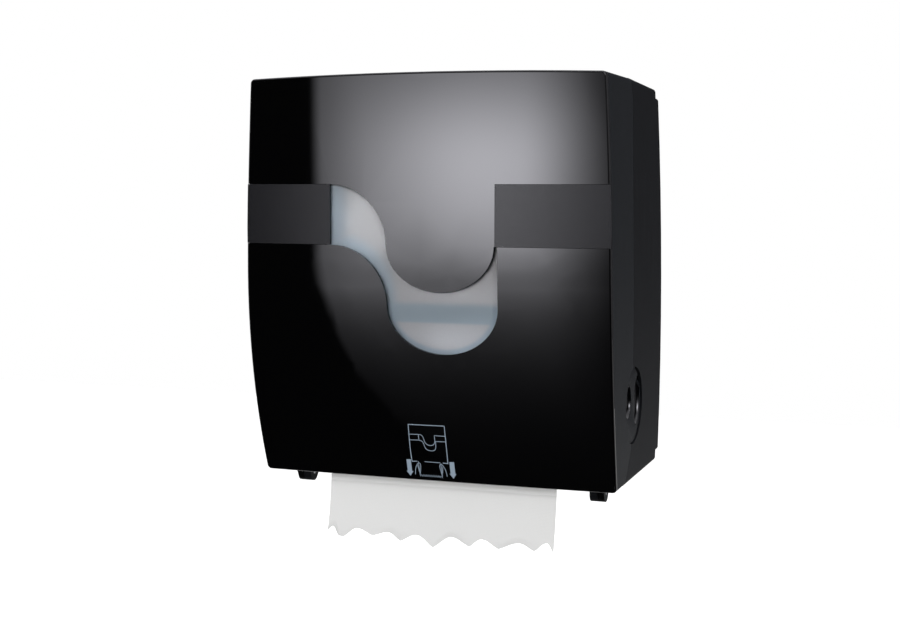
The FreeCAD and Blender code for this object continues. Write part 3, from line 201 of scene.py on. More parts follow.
def make_grain_group():
    """Spark-eroded moulding grain: a height, and a mask of its pits."""
    tree, ins, outs = new_group("Moulding grain", {"Grain size": 0.5, "Unevenness": 0.5},
                                ("Height", "Pits"))
    vector = mapped(tree)
    scale = over(tree, 1000.0, ins.outputs["Grain size"])
    fine = noise_field(tree, vector, scale)
    cells = cell_field(tree, vector, times(tree, scale, 0.8))
    height = plus(tree, fine, times(tree, cells, 0.5))
    patchy = minus(tree, noise_field(tree, vector, 40.0), 0.5)
    patchy = times(tree, patchy, ins.outputs["Unevenness"])
    wire(tree, plus(tree, height, patchy), outs.inputs["Height"])
    wire(tree, spread(tree, fine, 0.55, 0.4), outs.inputs["Pits"])
    return tree


def make_handling_group():
    """Handling: masks of smears, of dust settled on faces that look up, and of fine specks."""
    tree, ins, outs = new_group("Handling", {"Smears": 0.5, "Dust": 0.5},
                                ("Smear", "Settled", "Specks"))
    smears, dust = ins.outputs["Smears"], ins.outputs["Dust"]
    vector = mapped(tree)
    slow = noise_field(tree, vector, 9.0, 3.0, 0.55)
    streaks = noise_field(tree, mapped(tree, (60.0, 60.0, 8.0)), 1.0, 4.0, 0.6)
    smear = times(tree, spread(tree, slow, 0.45, 0.75), spread(tree, streaks, 0.35, 0.75))
    wire(tree, times(tree, smear, smears, clamp=True), outs.inputs["Smear"])

    normal = add(tree, "ShaderNodeNewGeometry").outputs["Normal"]
    up = spread(tree, axes(tree, normal)["Z"], 0.55, 1.0)
    patches = spread(tree, noise_field(tree, vector, 55.0, 5.0, 0.65), 0.35, 0.7)
    dusty = times(tree, up, patches)
    wire(tree, times(tree, dusty, dust, clamp=True), outs.inputs["Settled"])

    speck = spread(tree, cell_field(tree, vector, 160.0), 0.075, 0.03)
    sparse = spread(tree, noise_field(tree, vector, 90.0), 0.55, 0.66)
    speck = times(tree, speck, sparse)
    wire(tree, times(tree, speck, dust, clamp=True), outs.inputs["Specks"])
    return tree


def make_paper_group():
    """Embossed towel paper: the dimple pattern's height, a mask of the dimples, and fibres.
    The pitch is in millimetres, and the UV map in metres."""
    tree, ins, outs = new_group("Towel paper", {"Pitch": 2.4, "Fibre": 0.5},
                                ("Height", "Dimples", "Fibres"))
    flat = coordinates(tree, "UV")
    u, v, _ = axes(tree, flat)
    turn = over(tree, 2000.0 * math.pi, ins.outputs["Pitch"])
    across = times(tree, u, turn)
    along = times(tree, v, turn)
    one = maths(tree, "SINE", plus(tree, across, along))
    two = maths(tree, "SINE", minus(tree, across, along))
    dimples = spread(tree, times(tree, one, two), 0.25, 0.95)
    fibre = noise_field(tree, flat, 1600.0, 3.0, 0.7)
    crumple = noise_field(tree, flat, 60.0, 3.0, 0.5)
    fine = times(tree, fibre, ins.outputs["Fibre"])
    height = plus(tree, times(tree, dimples, -0.5), fine)
    height = plus(tree, height, times(tree, crumple, 0.8))
    wire(tree, height, outs.inputs["Height"])
    wire(tree, dimples, outs.inputs["Dimples"])
    wire(tree, fibre, outs.inputs["Fibres"])
    return tree


def make_metal_group():
    """Drawn or plated metal: fine lines along X, cloudy plating, and small nicks."""
    tree, ins, outs = new_group("Worked metal", {"Line length": 40.0},
                                ("Lines", "Cloud", "Nicks"))
    place = coordinates(tree)
    x, y, z = axes(tree, place)
    join = add(tree, "ShaderNodeCombineXYZ")
    stretched = over(tree, x, ins.outputs["Line length"])
    for value, socket in zip((stretched, y, z), join.inputs):
        wire(tree, value, socket)
    wire(tree, noise_field(tree, join.outputs[0], 2200.0, 2.0, 0.6), outs.inputs["Lines"])
    wire(tree, noise_field(tree, place, 120.0, 3.0, 0.5), outs.inputs["Cloud"])
    nick = noise_field(tree, place, 420.0, 1.0, 0.5)
    wire(tree, spread(tree, nick, 0.68, 0.74), outs.inputs["Nicks"])
    return tree


grain_group = make_grain_group()
handling_group = make_handling_group()
paper_group = make_paper_group()
metal_group = make_metal_group()


# Materials

def new_material(name):
    material = bpy.data.materials.new(name)
    material.use_nodes = True
    tree = material.node_tree
    return material, tree, tree.nodes["Principled BSDF"]


def put_group(tree, group, **values):
    node = add(tree, "ShaderNodeGroup", node_tree=group)
    set_inputs(node, **values)
    return node.outputs


def put_bump(tree, shader, height, distance):
    """Raises a height on a shader's surface; the distance is in millimetres."""
    bump = add(tree, "ShaderNodeBump")
    set_inputs(bump, Distance=distance * MM, Strength=1.0)
    wire(tree, height, bump.inputs["Height"])
    wire(tree, bump.outputs["Normal"], shader.inputs["Normal"])


def moulded(name, colour, roughness, grain=0.5, depth=0.02, specular=0.5, dust=0.35, smears=0.5,
            pale=1.25):
    """Moulded plastic with spark-eroded grain, handling smears and a little dust."""
    material, tree, shader = new_material(name)
    surface = put_group(tree, grain_group, Grain_size=grain)
    handling = put_group(tree, handling_group, Smears=smears, Dust=dust)
    base = (*colour, 1.0)
    light = (*[min(1.0, c * pale) for c in colour], 1.0)
    dusty = (*[0.85 * c + 0.05 for c in colour], 1.0)
    mixed = tint(tree, surface["Pits"], light, base)
    mixed = tint(tree, times(tree, handling["Settled"], 0.35), mixed, dusty)
    mixed = tint(tree, times(tree, handling["Specks"], 0.6), mixed, dusty)
    wire(tree, mixed, shader.inputs["Base Color"])
    dull = spread(tree, surface["Pits"], 0.0, 1.0, roughness - 0.04, roughness + 0.05,
                  smooth=False)
    dull = minus(tree, dull, times(tree, handling["Smear"], 0.1))
    wire(tree, dull, shader.inputs["Roughness"])
    set_inputs(shader, Specular_IOR_Level=specular)
    put_bump(tree, shader, surface["Height"], depth)
    return material


def gloss_material():
    """High-gloss black front: nearly still surface, faint smears, a few specks of dust."""
    material, tree, shader = new_material("Gloss black front")
    handling = put_group(tree, handling_group, Smears=0.5, Dust=0.5)
    black, speck, dust = (0.0005, 0.0005, 0.0006, 1), (0.05, 0.05, 0.05, 1), (0.12, 0.12, 0.12, 1)
    mixed = tint(tree, times(tree, handling["Specks"], 0.25), black, speck)
    mixed = tint(tree, times(tree, handling["Settled"], 0.05), mixed, dust)
    wire(tree, mixed, shader.inputs["Base Color"])
    dull = spread(tree, handling["Smear"], 0.0, 1.0, 0.022, 0.06, smooth=False)
    dull = plus(tree, dull, times(tree, handling["Settled"], 0.1))
    wire(tree, dull, shader.inputs["Roughness"])
    set_inputs(shader, IOR=1.5)
    ripple = noise_field(tree, mapped(tree), 70.0, 1.0)
    put_bump(tree, shader, ripple, 0.0015)
    return material


def frosted_material():
    """Frosted window: translucent plastic that lets light in. Painted shade makes it darker and
    bluer along its left and lower edges and in a band across its bowl, and darker in its upper
    part; a painted shadow makes it dark along its upper joint with the panel."""
    material, tree, shader = new_material("Frosted window")
    surface = put_group(tree, grain_group, Grain_size=0.35)
    handling = put_group(tree, handling_group, Smears=0.5, Dust=0.3)
    x, _, z = axes(tree, coordinates(tree))

    # The wave's arcs, each as its centre's X and Z, half width and half height, in metres.
    neck_arc = (-0.0835, -0.023, 0.0523, 0.0523)
    bowl_arc = (0.0185, -0.023, 0.0497, 0.0405)
    crest_arc = (-0.0835, 0.0297, 0.0518, 0.0518)
    trough_arc = (0.0168, 0.0297, 0.0485, 0.0397)
    neck_x = -0.0315
    bowl_top = -0.0215
    joint_level = 0.0297

    def reach(arc):
        """How far out from an arc's centre a point is; 1 is on the arc."""
        centre, level, wide, deep = arc
        across = over(tree, minus(tree, x, centre), wide)
        down = over(tree, minus(tree, z, level), deep)
        return maths(tree, "SQRT", plus(tree, times(tree, across, across),
                                        times(tree, down, down)))

    # Painted shade: masks of the left and lower edges and of a band across the bowl, where the
    # window is painted darker and bluer.
    right_of_neck = maths(tree, "GREATER_THAN", x, neck_x)
    left_of_neck = minus(tree, 1.0, right_of_neck)
    low_part = maths(tree, "LESS_THAN", z, bowl_top)
    left_edge = spread(tree, x, -0.063, -0.08)
    neck = times(tree, spread(tree, reach(neck_arc), 1.3, 1.04), spread(tree, x, -0.014, -0.03))
    bowl = times(tree, spread(tree, reach(bowl_arc), 0.86, 0.95),
                 times(tree, low_part, right_of_neck))
    edge = larger(tree, left_edge, larger(tree, neck, bowl))

    # Painted shadow: a dark line along the upper joint with the panel, where the panel's edge
    # shades the window.
    crest = times(tree, spread(tree, reach(crest_arc), 0.962, 0.982), left_of_neck)
    crest = times(tree, crest, maths(tree, "GREATER_THAN", z, joint_level))
    trough = times(tree, spread(tree, reach(trough_arc), 1.032, 1.012), right_of_neck)
    trough = times(tree, trough, maths(tree, "LESS_THAN", z, joint_level))
    joint = larger(tree, crest, trough)

    # Painted shade and light: the upper part is painted darker and the lower part lighter.
    lit_lower_white, shaded_upper_white = (0.87, 0.86, 0.875, 1), (0.655, 0.645, 0.65, 1)
    pit_grey, band_shade_blue = (0.60, 0.61, 0.63, 1), (0.60, 0.72, 0.80, 1)
    edge_shade_blue, joint_painted_shadow = (0.56, 0.67, 0.76, 1), (0.05, 0.055, 0.065, 1)
    mixed = tint(tree, spread(tree, z, -0.02, 0.022), lit_lower_white, shaded_upper_white)
    mixed = tint(tree, times(tree, surface["Pits"], 0.3), mixed, pit_grey)
    band = times(tree, spread(tree, z, -0.0378, -0.0352), spread(tree, z, -0.0165, -0.0235))
    mixed = tint(tree, times(tree, band, 0.85), mixed, band_shade_blue)
    mixed = tint(tree, times(tree, edge, 0.8), mixed, edge_shade_blue)
    mixed = tint(tree, times(tree, joint, 0.85), mixed, joint_painted_shadow)
    wire(tree, mixed, shader.inputs["Base Color"])
    dull = spread(tree, handling["Smear"], 0.0, 1.0, 0.33, 0.31, smooth=False)
    wire(tree, dull, shader.inputs["Roughness"])
    set_inputs(shader, Transmission_Weight=0.86, IOR=1.3)
    put_bump(tree, shader, surface["Height"], 0.02)

    passing = add(tree, "ShaderNodeBsdfTransparent")
    set_inputs(passing, Color=(0.84, 0.865, 0.885, 1))
    both = add(tree, "ShaderNodeMixShader")
    wire(tree, add(tree, "ShaderNodeLightPath").outputs["Is Shadow Ray"], both.inputs[0])
    wire(tree, shader.outputs[0], both.inputs[1])
    wire(tree, passing.outputs[0], both.inputs[2])
    wire(tree, both.outputs[0], tree.nodes["Material Output"].inputs["Surface"])
    return material


def metal(name, colour, roughness, line, streaks=0.12):
    """Bare or plated metal; line says how much its fine lines are drawn out."""
    material, tree, shader = new_material(name)
    worked = put_group(tree, metal_group, Line_length=line)
    base = (*colour, 1.0)
    darker = (*[c * 0.72 for c in colour], 1.0)
    mixed = tint(tree, spread(tree, worked["Cloud"], 0.35, 0.7), darker, base)
    mixed = tint(tree, times(tree, worked["Nicks"], 0.5), mixed, darker)
    wire(tree, mixed, shader.inputs["Base Color"])
    set_inputs(shader, Metallic=1.0)
    dull = spread(tree, worked["Lines"], 0.3, 0.7, roughness - streaks / 2,
                  roughness + streaks / 2)
    wire(tree, dull, shader.inputs["Roughness"])
    put_bump(tree, shader, worked["Lines"], 0.008)
    return material


def paper_material():
    """Embossed towel paper, shaded a little in its dimples and between its fibres."""
    material, tree, shader = new_material("Embossed towel paper")
    paper = put_group(tree, paper_group, Pitch=2.4)
    white = (0.71, 0.71, 0.705)
    base = (*white, 1.0)
    shade = (*[c * 0.9 for c in white], 1.0)
    mixed = tint(tree, times(tree, paper["Dimples"], 0.35), base, shade)
    mixed = tint(tree, spread(tree, paper["Fibres"], 0.6, 0.35, 0.0, 0.35), mixed, shade)
    wire(tree, mixed, shader.inputs["Base Color"])
    wire(tree, spread(tree, paper["Fibres"], 0.3, 0.7, 0.82, 0.95), shader.inputs["Roughness"])
    set_inputs(shader, Specular_IOR_Level=0.2)
    put_bump(tree, shader, paper["Height"], 0.12)
    return material


def cover_material():
    """Matte cover moulding, near black on the faces that look towards the user: black like the
    panels, and painted shade that hides the light the lamps put on its rounded front edge.
    """
    material = moulded("Matte cover moulding", case_black, **matte)
    tree = material.node_tree
    base = tree.nodes["Principled BSDF"].inputs["Base Color"]
    # Black like the panels, and painted shade on the rounded front edge: faces that look towards
    # the user are darkened.
    front_black_and_shade = spread(tree, axes(tree, coordinates(tree, "Normal"))["Y"], -0.04, -0.14)
    colour = base.links[0].from_socket
    wire(tree, tint(tree, front_black_and_shade, colour, (0.0006, 0.0006, 0.0008, 1)), base)
    return material


def wound_material():
    """End of the wound roll: fine rings of paper edge about the roll's axis, a little uneven."""
    material, tree, shader = new_material("Wound paper edge")
    place = mapped(tree, location=(0.0, 0.113, -0.056))
    _, y, z = axes(tree, place)
    radius = maths(tree, "SQRT", plus(tree, maths(tree, "POWER", y, 2.0),
                                      maths(tree, "POWER", z, 2.0)))
    ring_step = 0.0011
    wander = times(tree, noise_field(tree, place, 30.0, 2.0), 0.004)
    turns = times(tree, plus(tree, radius, wander), 2.0 * math.pi / ring_step)
    turns = maths(tree, "SINE", turns)
    bands = add(tree, "ShaderNodeCombineXYZ")
    wire(tree, radius, bands.inputs[0])
    coarse = noise_field(tree, bands.outputs[0], 420.0, 3.0, 0.6)
    fuzz = noise_field(tree, coordinates(tree), 1500.0, 2.0, 0.6)
    ring = plus(tree, times(tree, turns, 0.25), times(tree, coarse, 1.2))
    ring = plus(tree, ring, times(tree, fuzz, 0.6))
    # The rings' tone differs at random, and is darker where the rings lie low: painted shade in
    # their grooves.
    low_ring_shade, crest = (0.56, 0.56, 0.55, 1), (0.69, 0.69, 0.68, 1)
    wire(tree, tint(tree, spread(tree, ring, 0.4, 1.2), low_ring_shade, crest),
         shader.inputs["Base Color"])
    wire(tree, spread(tree, fuzz, 0.3, 0.7, 0.85, 0.97), shader.inputs["Roughness"])
    set_inputs(shader, Specular_IOR_Level=0.2)
    put_bump(tree, shader, ring, 0.12)
    return material


case_black = (0.0078, 0.0092, 0.0112)
matte = {"roughness": 0.58, "grain": 0.45, "depth": 0.012, "specular": 0.15}

gloss_black = gloss_material()
matte_case = moulded("Matte case moulding", case_black, **matte)
matte_cover = cover_material()
matte_rear = moulded("Matte base moulding", (0.0040, 0.0045, 0.0058), roughness=0.62, grain=0.45,
                     depth=0.012, specular=0.12)
band_grey = moulded("Matte band", (0.0022, 0.0022, 0.0030), roughness=0.22, grain=0.3,
                    depth=0.0015, specular=0.27, dust=0.12, smears=0.05)
frosted = frosted_material()
lock_metal = metal("Plated lock", (0.62, 0.60, 0.56), roughness=0.24, line=1.0)
steel = metal("Zinc-plated steel", (0.56, 0.57, 0.59), roughness=0.34, line=30.0)
chassis = moulded("Grey chassis moulding", (0.11, 0.115, 0.125), roughness=0.5)
guard_grey = moulded("Light grey guard", (0.29, 0.3, 0.31), roughness=0.48, pale=1.08)
drum_plastic = moulded("Dark drum moulding", (0.035, 0.037, 0.042), roughness=0.45)
grip = moulded("Grip rubber", (0.006, 0.006, 0.007), roughness=0.75, grain=0.3, depth=0.03,
               specular=0.35, dust=0.6)
wheel_black = moulded("Satin wheel moulding", (0.0042, 0.0043, 0.0048), roughness=0.36,
                      grain=0.3, depth=0.006, dust=0.2)
white_acetal = moulded("White acetal", (0.58, 0.58, 0.55), roughness=0.4, grain=0.4,
                       depth=0.008, dust=0.2, pale=1.04)
alloy = metal("Extruded alloy", (0.66, 0.67, 0.69), roughness=0.3, line=60.0, streaks=0.18)
towel_paper = paper_material()
cardboard = moulded("Core board", (0.2, 0.125, 0.068), roughness=0.8, grain=0.6, depth=0.03,
                    specular=0.2, pale=1.12)
wheel_gloss = moulded("Polished wheel scoop", (0.001, 0.001, 0.0013), roughness=0.09, grain=0.3,
                      depth=0.0005, dust=0.1, smears=0.2)
print_grey = moulded("Printed symbol", (0.22, 0.275, 0.34), roughness=0.45, grain=0.25,
                     depth=0.004, specular=0.4, dust=0.2, smears=0.2, pale=1.06)
wound_edge = wound_material()

slot_material = {
    "gloss_black": gloss_black, "matte_case": matte_case, "band_grey": band_grey,
    "frosted": frosted, "lock_metal": lock_metal, "steel": steel, "chassis": chassis,
    "guard_grey": guard_grey, "drum_plastic": drum_plastic, "grip": grip,
    "wheel_black": wheel_black, "white_acetal": white_acetal, "alloy": alloy,
    "paper": towel_paper, "cardboard": cardboard,
}

for node in cad.values():
    node.data.materials[0] = slot_material[node.data.materials[0].name.split(".")[0]]
cad["rear_base"].data.materials[0] = matte_rear
cad["cover_frame"].data.materials[0] = matte_cover


# Pieces that stand for CAD nodes, and the printed symbol

def pick(piece):
    """Leaves only this piece selected and active, in object mode."""
    if bpy.context.mode != "OBJECT":
        bpy.ops.object.mode_set(mode="OBJECT")
    bpy.ops.object.select_all(action="DESELECT")
    piece.select_set(True)
    bpy.context.view_layer.objects.active = piece


def new_piece(name, data):
    piece = bpy.data.objects.new(name, data)
    bpy.context.scene.collection.objects.link(piece)
    pick(piece)
    return piece


def apply_modifiers(piece):
    pick(piece)
    for modifier in list(piece.modifiers):
        bpy.ops.object.modifier_apply(modifier=modifier.name)


def thicken(piece, label, thickness):
    """Gives a flat piece its thickness in millimetres, half to each side."""
    modifier = piece.modifiers.new(label, "SOLIDIFY")
    modifier.thickness = thickness * MM
    modifier.offset = 0.0
    apply_modifiers(piece)


def outward(piece, merge=True):
    """Turns all faces outwards, after points that lie together are merged."""
    pick(piece)
    bpy.ops.object.mode_set(mode="EDIT")
    bpy.ops.mesh.select_all(action="SELECT")
    if merge:
        bpy.ops.mesh.remove_doubles(threshold=0.00001)
    bpy.ops.mesh.normals_make_consistent(inside=False)
    bpy.ops.object.mode_set(mode="OBJECT")


def smooth(piece, angle):
    pick(piece)
    bpy.ops.object.shade_smooth_by_angle(angle=math.radians(angle))


def settle(piece, name, materials, body, slot, *nodes):
    """Names a finished piece, keeps its place in its mesh, hangs it on the body it rides on and
    hides the CAD nodes it stands for."""
    pick(piece)
    bpy.ops.object.transform_apply(location=True, rotation=True, scale=True)
    piece.name = name
    piece.data.name = name
    keep = [face.material_index for face in piece.data.polygons]
    piece.data.materials.clear()
    for material in materials:
        piece.data.materials.append(material)
    for face, index in zip(piece.data.polygons, keep):
        face.material_index = min(index, len(materials) - 1)
    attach(piece, body)
    if nodes:
        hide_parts(*nodes)


# The torn edge's points and the tops of the arches between them, as X and height in millimetres.
torn_points = (
    (-107.0, -55.0), (-101.7, -50.6), (-95.2, -58.6), (-90.3, -58.9), (-78.4, -51.2),
    (-62.9, -56.5), (-47.2, -52.3), (-35.0, -58.7), (-20.4, -52.6), (-3.4, -61.6), (13.6, -51.3),
    (30.4, -58.4), (41.1, -51.6), (57.4, -58.1), (76.3, -51.7), (90.1, -57.6), (100.6, -50.4),
    (107.0, -58.0))


def torn_height(x):
    """Height of the towel's torn edge: lobes that come to soft points, with round arches
    between them."""
    for (x0, h0), (x1, h1) in zip(torn_points, torn_points[1:]):
        if x <= x1:
            break
    t = min(1.0, max(0.0, (x - x0) / (x1 - x0)))
    if h0 < h1:
        t = 1.0 - t
    high, low = max(h0, h1), min(h0, h1)
    round_part = 0.5 - 0.5 * math.cos(math.pi * t)
    pointed_part = 1.0 - math.cos(math.pi * t / 2.0)
    drop = 0.45 * round_part + 0.55 * pointed_part
    ragged = noise.noise(Vector((x * 1.1, 3.0, 0.0))) * 0.35
    ragged += noise.noise(Vector((x * 3.0, 9.0, 0.0))) * 0.15
    return high + (low - high) * drop + ragged


def sheet_of_paper(name, across, down, place):
    """A grid of paper whose points place(across 0..1, down 0..1) gives in metres, with its UV
    map in metres."""
    bpy.ops.object.select_all(action="DESELECT")
    bpy.ops.mesh.primitive_grid_add(x_subdivisions=across, y_subdivisions=down, size=1.0)
    piece = bpy.context.object
    flat = {}
    for vertex in piece.data.vertices:
        point, flat[vertex.index] = place(vertex.co.x + 0.5, 0.5 - vertex.co.y)
        vertex.co = point
    layer = piece.data.uv_layers.active or piece.data.uv_layers.new(name="UVMap")
    for loop in piece.data.loops:
        layer.data[loop.index].uv = flat[loop.vertex_index]
    thicken(piece, "Two plies", PAPER_THICKNESS)
    outward(piece)
    smooth(piece, 50.0)
    return piece


def hung_towel():
    """The towel that hangs out: it leans forward, waves a little, has a slight crease below the
    outlet, and curls at its torn edge."""
    top = 8.0
    fall = 66.0
    lean = 11.4
    crease_height, crease_width = -9.5, 1.1
    curl_reach = 6.0

    def place(across, down):
        x = -PAPER_WIDTH / 2 + PAPER_WIDTH * across
        low = torn_height(x)
        h = top + (low - top) * down
        s = (top - h) / fall
        y = -OUTLET_DEPTH - lean * s ** 1.8
        y -= 0.9 * s * math.sin(x / 34.0 + 0.6) + 0.5 * s * math.sin(x / 13.0 + 2.0)
        y += 0.55 * math.exp(-((h - crease_height) / crease_width) ** 2)
        if h - low < curl_reach:
            curl = 1.6 * (1.0 - (h - low) / curl_reach) ** 2
            y -= curl * (0.5 + 0.5 * math.sin(x / 9.0))
        return Vector((x * MM, y * MM, height_z(h))), (x * MM, h * MM)

    piece = sheet_of_paper("Hanging_towel", 286, 76, place)
    settle(piece, "Hanging_towel", [towel_paper], "tail", "paper", "towel_tail")
    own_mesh(piece)


def fed_web():
    """The towel's run from the roll, round the drum and down to the outlet."""
    start = Vector((-62.16, 163.56))
    touch = Vector((-148.56, 102.92))
    outlet_run = 58.1
    first = (touch - start).length
    angle = math.atan2(36.42, -25.56)
    arc = DRUM_PAPER_RADIUS * (math.pi - angle)
    total = first + arc + outlet_run

    def place(across, down):
        x = -PAPER_WIDTH / 2 + PAPER_WIDTH * across
        s = down * total
        if s < first:
            point = start + (touch - start) * (s / first)
            slack = 0.5 * math.sin(math.pi * s / first) * math.sin(x / 40.0 + 1.0)
            point += Vector((0.0, slack))
        elif s < first + arc:
            turn = angle + (s - first) / DRUM_PAPER_RADIUS
            point = Vector((-DRUM_DEPTH + DRUM_PAPER_RADIUS * math.cos(turn),
                            DRUM_HEIGHT + DRUM_PAPER_RADIUS * math.sin(turn)))
        else:
            point = Vector((-OUTLET_DEPTH, DRUM_HEIGHT - (s - first - arc)))
        return Vector((x * MM, point.x * MM, height_z(point.y))), (x * MM, -s * MM)

    piece = sheet_of_paper("Fed_web", 60, 140, place)
    settle(piece, "Fed_web", [towel_paper], "case", "paper", "paper_web")


def wound_roll():
    """The towel roll: outer turn, ends of many wound turns that stand a little proud or shy,
    and its bore."""
    rings = 44
    end_x, shoulder_x, outer_x, bore_x = 106.45, 106.3, 106.0, 104.0
    shoulder = 87.6
    right = []
    for i in range(rings + 1):
        radius = CORE_RADIUS + (shoulder - CORE_RADIUS) * i / rings
        proud = 0.35 * noise.noise(Vector((radius * 0.55, 0.0, 1.0)))
        proud += 0.2 * noise.noise(Vector((radius * 2.1, 4.0, 0)))
        right.append((end_x + proud, radius))
    right[-1] = (shoulder_x, shoulder)
    outer = [(outer_x - 2 * outer_x * i / 20, ROLL_RADIUS) for i in range(21)]
    left = [(-x - 0.1 * math.sin(r), r) for x, r in reversed(right)]
    bore = [(-bore_x + 2 * bore_x * i / 4, CORE_RADIUS) for i in range(5)]
    profile = right + outer + left + bore
    mesh = bpy.data.meshes.new("Towel_roll")
    mesh.from_pydata([(x * MM, ROLL[1], ROLL[2] + r * MM) for x, r in profile],
                     [(i, (i + 1) % len(profile)) for i in range(len(profile))], [])
    piece = new_piece("Towel_roll", mesh)
    bpy.ops.object.mode_set(mode="EDIT")
    bpy.ops.mesh.select_all(action="SELECT")
    bpy.ops.mesh.spin(steps=144, angle=math.tau, center=ROLL, axis=(1.0, 0.0, 0.0))
    bpy.ops.object.mode_set(mode="OBJECT")
    outward(piece)
    layer = piece.data.uv_layers.new(name="UVMap")
    centre = Vector(ROLL)
    for face in piece.data.polygons:
        face.material_index = 1 if abs(face.normal.x) > 0.5 else 0
        turns = []
        for index in face.vertices:
            arm = piece.data.vertices[index].co - centre
            turns.append(math.atan2(arm.z, arm.y))
        if max(turns) - min(turns) > math.pi:
            turns = [turn + math.tau if turn < 0 else turn for turn in turns]
        for loop, index, turn in zip(face.loop_indices, face.vertices, turns):
            along = piece.data.vertices[index].co.x
            layer.data[loop].uv = (along, turn * ROLL_RADIUS * MM)
    smooth(piece, 30.0)
    settle(piece, "Towel_roll", [towel_paper, wound_edge], "towel_roll", "paper", "paper_roll")


def scoop_cutter(out, up, wide, tall):
    """One scoop's form: a ball flattened to the scoop's depth, width and height, leaning a
    little back."""
    bpy.ops.object.select_all(action="DESELECT")
    bpy.ops.mesh.primitive_uv_sphere_add(segments=96, ring_count=48, radius=1.0)
    piece = bpy.context.object
    piece.scale = (0.0085, wide, tall)
    piece.rotation_euler = (math.radians(-8.0), 0.0, 0.0)
    piece.location = WHEEL + Vector((0.0008, out, up))
    bpy.ops.object.transform_apply(location=True, rotation=True, scale=True)
    return piece


def feed_wheel():
    """Side hand wheel: rounded rim, and two hollow scoops with a bar between them."""
    wheel_radius = 0.0328
    scoop_reach = 0.0318
    face_margin, scoop_depth = 0.0004, 0.0095
    bpy.ops.object.select_all(action="DESELECT")
    low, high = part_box("hand_wheel")
    bpy.ops.mesh.primitive_cylinder_add(
        vertices=160, radius=wheel_radius, depth=high[0] - low[0], end_fill_type="NGON",
        location=((low[0] + high[0]) / 2, WHEEL.y, WHEEL.z), rotation=(0.0, math.pi / 2, 0.0))
    piece = bpy.context.object
    bpy.ops.object.transform_apply(location=True, rotation=True, scale=True)
    cutters = [scoop_cutter(out=-0.0188, up=0.0055, wide=0.0125, tall=0.0155),
               scoop_cutter(out=0.0176, up=0.0025, wide=0.0118, tall=0.0225)]
    for cutter in cutters:
        cut = piece.modifiers.new("Scoop", "BOOLEAN")
        cut.operation = "DIFFERENCE"
        cut.solver = "EXACT"
        cut.object = cutter
    rounding = piece.modifiers.new("Rounding", "BEVEL")
    rounding.width = 0.0006
    rounding.segments = 3
    rounding.limit_method = "ANGLE"
    rounding.angle_limit = math.radians(32.0)
    apply_modifiers(piece)
    for cutter in cutters:
        bpy.data.objects.remove(cutter)
    for face in piece.data.polygons:
        arm = face.center - WHEEL
        sunk = WHEEL.x - scoop_depth < face.center.x < WHEEL.x - face_margin
        inside = math.hypot(arm.y, arm.z) < scoop_reach
        face.material_index = 1 if sunk and inside and face.normal.x > -0.5 else 0
    smooth(piece, 40.0)
    settle(piece, "Feed_wheel", [matte_case, wheel_gloss], "drum", "wheel_black", "hand_wheel")


def wire_form(name, points, wire_size, node, side=1):
    """Round steel wire along points of X, Y and height in millimetres."""
    curve = bpy.data.curves.new(name, "CURVE")
    curve.dimensions = "3D"
    curve.bevel_depth = wire_size / 2 * MM
    curve.bevel_resolution = 2
    curve.use_fill_caps = True
    line = curve.splines.new("POLY")
    line.points.add(len(points) - 1)
    for point, p in zip(line.points, points):
        point.co = (side * p.x * MM, p.y * MM, height_z(p.z), 1.0)
    new_piece(name, curve)
    bpy.ops.object.convert(target="MESH")
    piece = bpy.context.object
    smooth(piece, 60.0)
    settle(piece, name, [steel], "case", "steel", node)


def extension_spring(name, x, first, last, coil, wire_size, eye, reach, turns, node):
    """A close-wound spring with an eye at each end. The eyes' centres, first and last, are
    (Y, height); coil is the coil's outer radius, eye the eyes' inner one, and reach the distance
    from an eye to the coil."""
    a = Vector((x, *first))
    b = Vector((x, *last))
    along = (b - a).normalized()
    side = Vector((1.0, 0.0, 0.0))
    other = along.cross(side)
    centre_line = coil - wire_size / 2
    ring = eye + wire_size / 2
    eye_steps, turn_steps = 20, 16

    def eye_points(centre, start_angle):
        """Most of a turn about an eye's centre."""
        for i in range(eye_steps + 1):
            turn = math.radians(start_angle + 320.0 * i / eye_steps)
            yield centre + along * (ring * math.cos(turn)) + other * (ring * math.sin(turn))

    start = a + along * (reach + wire_size)
    finish = b - along * (reach + wire_size)
    points = list(eye_points(a, 25.0))
    steps = turns * turn_steps
    for i in range(steps + 1):
        turn = math.tau * i / turn_steps
        points.append(start + (finish - start) * (i / steps)
                      + side * (centre_line * math.sin(turn))
                      - other * (centre_line * math.cos(turn)))
    points += eye_points(b, 205.0)
    wire_form(name, points, wire_size, node)


def arm_torsion_spring(name, side, node):
    """A torsion spring round the arm's pin, with one leg to the wall and one along the arm."""
    x, y, low, high = 117.5, -12.0, 198.1, 207.1
    coil, leg = 3.35, 3.5
    turns, turn_steps = 7.5, 20
    points = [Vector((x + leg, -4.6, low)), Vector((x + leg, -8.0, low))]
    steps = int(turns * turn_steps)
    for i in range(steps + 1):
        turn = math.tau * turns * i / steps
        points.append(Vector((x + coil * math.cos(turn), y - coil * math.sin(turn),
                              low + (high - low) * i / steps)))
    points += [Vector((x - leg, -20.0, high)), Vector((x - leg, -35.6, high))]
    wire_form(name, points, 1.0, node, side)


def front_y(x, height):
    """Y of the lower panel's face, in millimetres."""
    tuck = TUCK_RADIUS - math.sqrt(TUCK_RADIUS ** 2 - (TUCK_HEIGHT - height) ** 2)
    return -FRONT_DEPTH + tuck - FRONT_CROWN * (1.0 - (2.0 * x / CASE_WIDTH) ** 2)


